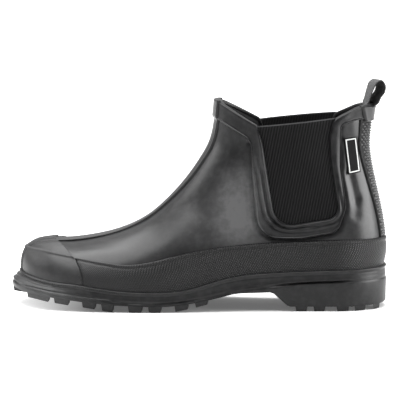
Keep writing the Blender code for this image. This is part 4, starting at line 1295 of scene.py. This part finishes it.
# %% Two gores
GORE_DEEP, GORE_THICK, GORE_TUCK, HEM_AT, HEM_HALF, HEM_HIGH = -0.75, 1.2, 0.15, -1.0, 0.9, 0.25
CALM_FROM, CALM_SOFT = -1.6, 1.2
GORE_X, GORE_Z, GORE_COLUMNS, GORE_ROWS = (42.0, 113.0), (62.0, 150.0), 330, 56
GORES = (("gore_elastic_outer", -1.0, "gore_lateral"), ("gore_elastic_inner", 1.0, "gore_medial"))
gore_outline = [(*GORE_TOP[0], 0.0), *GORE_CUT[1:-1], (*GORE_TOP[1], 0.0)]
gore_shape = rounded(grown(gore_outline, GORE_TUCK))[0]
after = np.roll(gore_shape, -1, axis=0)
twice_area = np.sum(gore_shape[:, 0] * after[:, 1] - after[:, 0] * gore_shape[:, 1])
for name, side, node in GORES:
    x, z = np.meshgrid(np.linspace(*GORE_X, GORE_COLUMNS), np.linspace(*GORE_Z, GORE_ROWS), indexing="ij")
    middle, half = side_of_last(x, z, side)
    grid = np.stack((x, middle + side * half, z), axis=-1)
    hem = z - HEM_START - x * HEM_SLOPE
    top = GORE_DEEP + HEM_HIGH * bead(hem - HEM_AT, HEM_HALF)
    gore = patch(name, grid, top, GORE_DEEP - GORE_THICK, flat=np.stack((x, z), axis=-1))
    out = straight_out(grid).reshape(-1, 3)
    calm = ease((CALM_FROM - hem) / CALM_SOFT)
    attributes = gore.data.attributes
    for label, face, back in (("run", x, x), ("climb", z, z), ("faces_out", calm, 0 * calm)):
        column = np.concatenate((face.ravel(), back.ravel())).astype(np.float32)
        attributes.new(label, "FLOAT", "POINT").data.foreach_set("value", column)
    both = np.concatenate((out, out)).astype(np.float32)
    attributes.new("out", "FLOAT_VECTOR", "POINT").data.foreach_set("vector", both.ravel())
    gore = grow_piece(name, gore, rib_tree, rib_sizes)
    cut_with(gore, side_cutter("gore outline", gore_shape), "INTERSECT")
    wear(gore, elastic, [node])

# %% [markdown]
# Back tab and pull loop
#
# The webbing loop climbs inside the collar, turns over and is held at the back under a rubber tab. The
# loop is a flat woven band with rounded edges, carried along the same path as its solid and twisted a
# little, as it is in the photo.

# %% Back tab
TAB_LOW_Z, TAB_TOP_Z, TAB_LOW_HALF, TAB_TOP_HALF, TAB_HIGH = 144.0, 156.4, 11.5, 15.0, 3.4
TAB_CORNER, TAB_CORNER_SHARE, TAB_RIM_SHARE, TAB_ROUND = 2.4, 0.22, 0.35, 1.6
TAB_BEAD = ((0.25, 1.3, 0.6),)
TAB_ROWS, TAB_ACROSS, TAB_START, TAB_SUNK = 40, 56, 0.1, 0.05
level, part = np.meshgrid(np.linspace(0, 1, TAB_ROWS), np.linspace(-1, 1, TAB_ACROSS), indexing="ij")
z = TAB_LOW_Z + (TAB_TOP_Z - TAB_LOW_Z) * level
half = TAB_LOW_HALF + (TAB_TOP_HALF - TAB_LOW_HALF) * level
half = half - TAB_CORNER * (1 - rounding(level, TAB_CORNER_SHARE))
grid = behind_last(z, part * half)
from_edge = np.minimum((1 - np.abs(part)) * half, np.minimum(level, 1 - level) * (TAB_TOP_Z - TAB_LOW_Z))
crown = TAB_RIM_SHARE + (1 - TAB_RIM_SHARE) * rounding(from_edge + TAB_START, TAB_ROUND)
height = TAB_HIGH * crown + beads(from_edge, TAB_BEAD)
back_tab = patch("back_tab_patch", grid, height, -TAB_SUNK)
wear(back_tab, satin_rubber, ["back_tab"])

# %% Pull loop
LOOP_PATH = table(
    "x z",
    (125.2, 138.0), (126.2, 147.0), (127.6, 155.0), (129.8, 161.5), (132.0, 168.5), (134.4, 173.4),
    (137.4, 175.0), (139.9, 171.6), (139.6, 167.2), (135.9, 161.2), (134.5, 157.4), (133.8, 154.6),
)
LOOP_HALF, LOOP_THICK, LOOP_STEPS, LOOP_ACROSS = 6.2, 1.5, 150, 15
LOOP_RIM_SHARE, LOOP_ROUND, LOOP_INSIDE = 0.55, 0.8, 100.0
LOOP_TWIST, LOOP_TWIST_MORE = math.radians(20), math.radians(18)
LOOP_TWIST_FROM_Z, LOOP_TWIST_RISE, LOOP_TWIST_FROM, LOOP_TWIST_SPAN = 153.5, 5.0, 0.35, 0.5
path = np.stack((LOOP_PATH["x"], LOOP_PATH["z"]), axis=1)
run = run_length(path)
at = np.linspace(0, run[-1], LOOP_STEPS)
x, z = through(run, path[:, 0], at), through(run, path[:, 1], at)
along = np.stack((np.gradient(x, at), np.gradient(z, at)), axis=1)
along /= np.linalg.norm(along, axis=1)[:, None]
more = ease((at / run[-1] - LOOP_TWIST_FROM) / LOOP_TWIST_SPAN)
twist = (LOOP_TWIST + LOOP_TWIST_MORE * more) * ease((z - LOOP_TWIST_FROM_Z) / LOOP_TWIST_RISE)
section = []
for part in np.linspace(-1, 1, LOOP_ACROSS):
    crown = float(rounding((1 - abs(part)) * LOOP_HALF, LOOP_ROUND))
    section.append((part, LOOP_THICK / 2 * (LOOP_RIM_SHARE + (1 - LOOP_RIM_SHARE) * crown)))
section += [(part, -lift) for part, lift in reversed(section)]
rings, flat = [], []
for part, lift in section:
    rings.append(np.stack((
        x - np.sin(twist) * part * LOOP_HALF - along[:, 1] * lift,
        np.cos(twist) * part * LOOP_HALF,
        z + along[:, 0] * lift,
    ), axis=1))
    aside = part * LOOP_HALF + (LOOP_INSIDE if lift < 0 else 0.0)
    flat.append(np.stack((at, np.full_like(at, aside)), axis=1))
pull_loop = swept("webbing_pull_loop", np.stack(rings, axis=1), closed=False,
                  flat=np.stack(flat, axis=1).reshape(-1, 2))
print("loop webbing is", round(float(run[-1])), "mm long")

# %% Webbing
WEAVE_PITCH, WEAVE_SLOPE, WEAVE_DEPTH = 1.3, 0.55, 0.25
webbing = Finish("black woven webbing", (0.03, 0.03, 0.031), 0.7, specular=0.3)
run, climb = webbing.flat()
weave = (run + climb * WEAVE_SLOPE).wave(WEAVE_PITCH) * (run - climb * WEAVE_SLOPE).wave(WEAVE_PITCH)
# The outer face's threads are painted paler, a painted sheen on its lit side; the inner face is darker.
painted_light = webbing.shade((0.04, 0.04, 0.041), (0.16, 0.16, 0.163), weave)
within = webbing.shade((0.006, 0.006, 0.0062), (0.02, 0.02, 0.0205), weave)
webbing.feed("Base Color", webbing.shade(painted_light, within, climb > LOOP_INSIDE / 2))
webbing.bump(weave, WEAVE_DEPTH)
wear(pull_loop, webbing, ["pull_loop"])

# %% [markdown]
# Label
#
# A small woven label is sewn on beside the outer gore. It is black with a thin pale border. The border is
# woven in, so it belongs to the finish and not to the shape.

# %% Label with a pale border
LABEL = ((111.8, 132.0), (121.4, 132.9), (124.7, 105.6), (115.3, 104.2))
LABEL_HIGH, LABEL_WIDE, LABEL_TALL, LABEL_RIM_SHARE, LABEL_ROUND = 0.95, 10.2, 27.4, 0.55, 0.7
LABEL_ACROSS, LABEL_DOWN = 30, 66
across, down = np.meshgrid(np.linspace(0, 1, LABEL_ACROSS), np.linspace(0, 1, LABEL_DOWN), indexing="ij")
top_left, top_right, low_right, low_left = np.array(LABEL)
upper_edge = top_left * (1 - across)[..., None] + top_right * across[..., None]
lower_edge = low_left * (1 - across)[..., None] + low_right * across[..., None]
spot = upper_edge * (1 - down)[..., None] + lower_edge * down[..., None]
middle, half = side_of_last(spot[..., 0], spot[..., 1], -1.0)
grid = np.stack((spot[..., 0], middle - half, spot[..., 1]), axis=-1)
from_edge = np.minimum(np.minimum(across, 1 - across) * LABEL_WIDE, np.minimum(down, 1 - down) * LABEL_TALL)
height = LABEL_HIGH * (LABEL_RIM_SHARE + (1 - LABEL_RIM_SHARE) * rounding(from_edge, LABEL_ROUND))
flat = np.stack((across * LABEL_WIDE, down * LABEL_TALL), axis=-1)
label = patch("woven_side_label", grid, height, CLEAR, flat=flat)
print("label is", LABEL_WIDE, "by", LABEL_TALL, "mm")

# %% Weave of the label
BORDER_IN, BORDER_WIDE, BORDER_SOFT = 0.95, 0.85, 0.1
LABEL_BLACK, BORDER_WHITE = (0.005, 0.005, 0.0052), (0.66, 0.67, 0.66)
WARP_PITCH, WEFT_PITCH, WEAVE_SHOWS, BORDER_RAISED, LABEL_DEPTH = 0.55, 0.4, 0.25, 0.6, 0.12
woven_label = Finish("woven label", (0.02, 0.02, 0.02), 0.8, specular=0.12)
run, climb = woven_label.flat()
inset_x = LABEL_WIDE / 2 - (run - LABEL_WIDE / 2).math("ABSOLUTE")
inset_z = LABEL_TALL / 2 - (climb - LABEL_TALL / 2).math("ABSOLUTE")
inset = inset_x.math("MINIMUM", inset_z)
starts = inset.step(BORDER_IN - BORDER_SOFT, BORDER_IN + BORDER_SOFT)
stops = inset.step(BORDER_IN + BORDER_WIDE - BORDER_SOFT, BORDER_IN + BORDER_WIDE + BORDER_SOFT)
border = starts * (1 - stops)
weave = run.wave(WARP_PITCH) * climb.wave(WEFT_PITCH)
pale = border * (weave * WEAVE_SHOWS + (1 - WEAVE_SHOWS))
woven_label.feed("Base Color", woven_label.shade(LABEL_BLACK, BORDER_WHITE, pale))
woven_label.bump(weave + border * BORDER_RAISED, LABEL_DEPTH)
wear(label, woven_label, ["side_label"])

# %% [markdown]
# Sole
#
# The outsole is one moulding: a bead under the upper, a wall with a groove, a ridged bumper round the
# toe, and lugs along both edges. Its side is a section carried round the foot; the section changes from
# the toe to the side and the heel. The lugs are bevelled blocks joined to it.

# %% Side of the sole
SOLE_AROUND = 300
TOE_OUT_FROM_X, TOE_OUT_FULL_X = -86.0, -128.0
SOLE_SECTION = table(
    "level height out toe groove",
    (0, 0.0, -7.0, 0.0, 0), (0, 0.0, 3.1, 0.3, 0), (0, -0.15, 3.8, 0.4, 0), (0, -0.5, 4.1, 0.6, 0),
    (0, -1.0, 4.2, 0.7, 0), (0, -1.5, 4.0, 0.7, 0), (0, -2.0, 3.4, 0.9, 0), (0, -2.8, 3.2, 1.3, 0),
    (0, -3.5, 3.3, 2.6, 0), (0, -3.9, 3.4, 3.4, 0), (0, -4.2, 3.4, 3.4, 0), (1, 2.8, 3.5, 4.6, 0),
    (1, 2.3, 3.6, 5.6, 0), (1, 1.6, 3.7, 6.1, 0), (1, 0.8, 3.7, 5.7, 0), (1, 0.35, 3.6, 5.6, 1.1),
    (1, -0.1, 3.5, 5.6, 1.6), (1, -0.6, 3.6, 5.7, 1.5), (1, -0.95, 3.8, 5.9, 0.4), (1, -1.4, 4.1, 6.1, 0),
    (1, -2.4, 4.2, 6.1, 0), (2, 1.6, 3.8, 6.3, 0), (2, 0.5, 3.5, 6.3, 0), (2, 0.0, 2.9, 6.0, 0),
    (2, 0.0, -7.0, 0.0, 0),
)
GROOVE = table(
    "x share",
    (-150, 1.3), (-139, 1.2), (-131, 0.1), (-45, 0.1), (-15, 0.3), (62, 0.3), (76, 1.2), (106, 1.2),
    (119, 0.1), (150, 0.1),
)
SOLE_LEVELS = ("top", "line", "base")
angle = once_round(SOLE_AROUND)
foot_line = on_last(angle, np.zeros(SOLE_AROUND))
along = np.roll(foot_line, -1, axis=0) - np.roll(foot_line, 1, axis=0)
sole_out = np.stack((along[:, 1], -along[:, 0]), axis=1)
sole_out /= np.linalg.norm(sole_out, axis=1)[:, None]
toe_part = ease((TOE_OUT_FROM_X - foot_line[:, 0]) / (TOE_OUT_FROM_X - TOE_OUT_FULL_X))


def sole_outline(out, toe):
    return foot_line[:, :2] + sole_out * (out + toe * toe_part)[:, None]


rings = []
for level, height, out, toe, groove in zip(*SOLE_SECTION.values()):
    flat = sole_outline(out - groove * read(GROOVE, "share", foot_line[:, 0]), toe)
    rings.append(np.column_stack((flat, sole_height(SOLE_LEVELS[int(level)], flat[:, 0]) + height)))
rings = np.stack(rings, axis=1)
index = np.arange(rings.shape[0] * rings.shape[1]).reshape(rings.shape[:2])
faces = [tuple(face) for face in quads(index, wrap=True)]
for ring in (index[:, 0], index[:, -1]):
    half = SOLE_AROUND // 2
    faces.append((ring[0], ring[1], ring[-1]))
    for i in range(1, half - 1):
        faces.append((ring[i], ring[i + 1], ring[SOLE_AROUND - i - 1], ring[SOLE_AROUND - i]))
    faces.append((ring[half - 1], ring[half], ring[half + 1]))
outsole = make_piece("lugged_outsole", rings.reshape(-1, 3), faces)
print("sole side:", len(faces), "faces")

# %% Lugs
LUG_REACH, LUG_EDGE, LUG_TOE_EDGE, LUG_TOE_SHARE, LUG_TAPER, LUG_ROOT = 17.0, 3.5, 5.9, 0.7, 0.8, 1.5
EDGE_LUGS = (
    (-131.8, -113.2), (-109.8, -97.5), (-87.8, -76.9), (-72.8, -63.2), (-52.2, -41.0), (-36.8, -26.4),
    (-16.6, -5.6), (-1.0, 9.4), (75.6, 85.2), (89.4, 99.0), (107.0, 117.2), (120.8, 129.8), (134.8, 140.6),
)
FOREFOOT_DIAMOND_X, FOREFOOT_PITCH, HEEL_DIAMOND_X, HEEL_PITCH = -7.2, 35.6, 87.3, 31.4
FOREFOOT_DIAMONDS, HEEL_DIAMONDS, DIAMOND_LONG, DIAMOND_WIDE = 4, 2, 9.0, 13.0
LUG_BEVEL, LUG_BEVEL_STEPS, LUG_BEVEL_PROFILE = 0.45, 2, 0.6
TOE_LUG = ((-145.0, -6.0), (-145.0, 16.0), (-133.0, 18.0), (-133.0, -9.0))
lugs = bmesh.new()


def add_lug(corners):
    """A block under the tread base whose lower face follows the ground and is drawn in a little."""
    spots = np.array(corners)
    drawn = spots - np.sign(spots - spots.mean(axis=0)) * LUG_TAPER
    top = [lugs.verts.new((x, y, sole_height("base", x) + LUG_ROOT)) for x, y in spots]
    low = [lugs.verts.new((x, y, sole_height("ground", x))) for x, y in drawn]
    lugs.faces.new(top)
    lugs.faces.new(low[::-1])
    for i in range(4):
        lugs.faces.new((top[i], low[i], low[(i + 1) % 4], top[(i + 1) % 4]))


lug_line = sole_outline(LUG_EDGE, LUG_TOE_EDGE)
for side, line in ((-1, lug_line), (1, np.roll(lug_line[::-1], 1, axis=0))):
    line = line[: SOLE_AROUND // 2 + 1]
    for start, end in EDGE_LUGS:
        outer = np.interp((start, end), line[:, 0], line[:, 1])
        inner = outer - np.minimum(LUG_REACH, LUG_TOE_SHARE * np.abs(outer)) * side
        add_lug(((start, outer[0]), (end, outer[1]), (end, inner[1]), (start, inner[0])))
diamonds = [FOREFOOT_DIAMOND_X - k * FOREFOOT_PITCH for k in range(FOREFOOT_DIAMONDS)]
diamonds += [HEEL_DIAMOND_X + k * HEEL_PITCH for k in range(HEEL_DIAMONDS)]
for x in diamonds:
    y = float(read(PLAN, "centre", np.array(x)))
    add_lug(((x - DIAMOND_LONG, y), (x, y - DIAMOND_WIDE), (x + DIAMOND_LONG, y), (x, y + DIAMOND_WIDE)))
add_lug(TOE_LUG)
bmesh.ops.recalc_face_normals(lugs, faces=lugs.faces)
bmesh.ops.bevel(lugs, geom=list(lugs.edges), offset=LUG_BEVEL, segments=LUG_BEVEL_STEPS, affect="EDGES",
                profile=LUG_BEVEL_PROFILE)
bmesh.ops.scale(lugs, vec=(MM, MM, MM), verts=lugs.verts)
lug_mesh = bpy.data.meshes.new("lugs")
lugs.to_mesh(lug_mesh)
lugs.free()
lug_blocks = bpy.data.objects.new("lugs", lug_mesh)
bpy.context.scene.collection.objects.link(lug_blocks)
cut_with(outsole, lug_blocks, "UNION")

# A soft patch makes the sole paler round the toe.
TREAD_TOE_PATCH = (((-118.0, -34.0, 16.0), (44.0, 60.0, 20.0), 0.9),)
tread_rubber = rubber("matt tread rubber", (0.008, 0.008, 0.0083), 0.38, 0.10, 0.7, 0.05, 0.26, TREAD_TOE_PATCH)
wear(outsole, tread_rubber, ["outsole"])

# %% [markdown]
# Notches on the sole's bead
#
# Beside the ball of the foot the bead of the sole is rolled with fine upright notches. They repeat, so
# a tree like the one of the heel strip's knurling sets them, smaller and in one row on each side.

# %% Row of notches on each side
NOTCH_FROM_X, NOTCH_TO_X, NOTCH_PITCH, NOTCH_WIDE, NOTCH_HIGH = -112.0, -58.0, 1.6, 0.85, 0.55
NOTCH_TOP_SHARE, NOTCH_OUT, NOTCH_TOE_OUT, NOTCH_DOWN = 0.5, 4.1, 0.7, 1.0
notch_tree = blunt_points("bead notches", NOTCH_TOP_SHARE, tread_rubber.material)
bead_line = sole_outline(NOTCH_OUT, NOTCH_TOE_OUT)
spots, outs = [], []
for stretch in (slice(1, SOLE_AROUND // 2), slice(SOLE_AROUND // 2 + 1, None)):
    line, out = bead_line[stretch], sole_out[stretch]
    run = run_length(line)
    at = np.arange(0, run[-1], NOTCH_PITCH)
    x, y = columns_at(run, line, at)
    kept = (x > NOTCH_FROM_X) & (x < NOTCH_TO_X)
    spots.append(np.column_stack((x, y, sole_height("top", x) - NOTCH_DOWN))[kept])
    outs.append(np.column_stack((*columns_at(run, out, at), 0 * at))[kept])
seed = point_seed("notch seed", np.concatenate(spots), out=np.concatenate(outs))
notch_sizes = {"Width": NOTCH_WIDE * MM, "Height": NOTCH_HIGH * MM}
notches = grow_piece("sole_bead_notches", seed, notch_tree, notch_sizes)
wear(notches, tread_rubber, ())

# %% [markdown]
# Inside
#
# Through the collar the boot shows a knitted lining and a footbed. The lining is a thin sleeve just
# inside the wall; the footbed is a gently dished sheet.

# %% Lining
LINING_HIGH, LINING_LOW, LINING_FROM, LINING_BACK = -2.3, -2.7, 0.012, 1.6
LINING_AROUND, LINING_RINGS, KNIT_SIZE, KNIT_DEPTH = 160, 70, 0.7, 0.3
angle = once_round(LINING_AROUND)
grid = on_last(*np.meshgrid(angle, np.linspace(LINING_FROM, 1, LINING_RINGS), indexing="ij"))
lining = patch("knitted_lining", grid, LINING_HIGH, LINING_LOW, wrap=True)
cut_with(lining, side_cutter("lining opening", rounded(grown(OPENING, LINING_BACK))[0]), "DIFFERENCE")
knit = Finish("dark knitted lining", (0.016, 0.016, 0.017), 0.9, specular=0.2)
loops = knit.noise(knit.place(), KNIT_SIZE, detail=1.0)
knit.feed("Base Color", knit.shade((0.014, 0.014, 0.0145), (0.05, 0.05, 0.051), loops))
knit.bump(loops, KNIT_DEPTH)
wear(lining, knit, ())

# %% Footbed
INSOLE_INSET, INSOLE_THICK, INSOLE_DISH, INSOLE_ACROSS = 3.3, 3.0, 0.5, 40
edge = sole_outline(-INSOLE_INSET, 0.0)
half = SOLE_AROUND // 2
left, right = edge[: half + 1], np.concatenate((edge[:1], edge[:half - 1:-1]))
part = np.linspace(0, 1, INSOLE_ACROSS)[:, None]
flat = (left[:, None] * (1 - part) + right[:, None] * part)[1:-1]
lower = np.concatenate((flat, feather(flat[..., :1])), axis=-1)
upper = lower.copy()
upper[..., 2] += INSOLE_THICK - INSOLE_DISH + INSOLE_DISH * (2 * part[:, 0] - 1) ** 2
footbed = shell("footbed", upper, lower)
wear(footbed, knit, ["insole"])
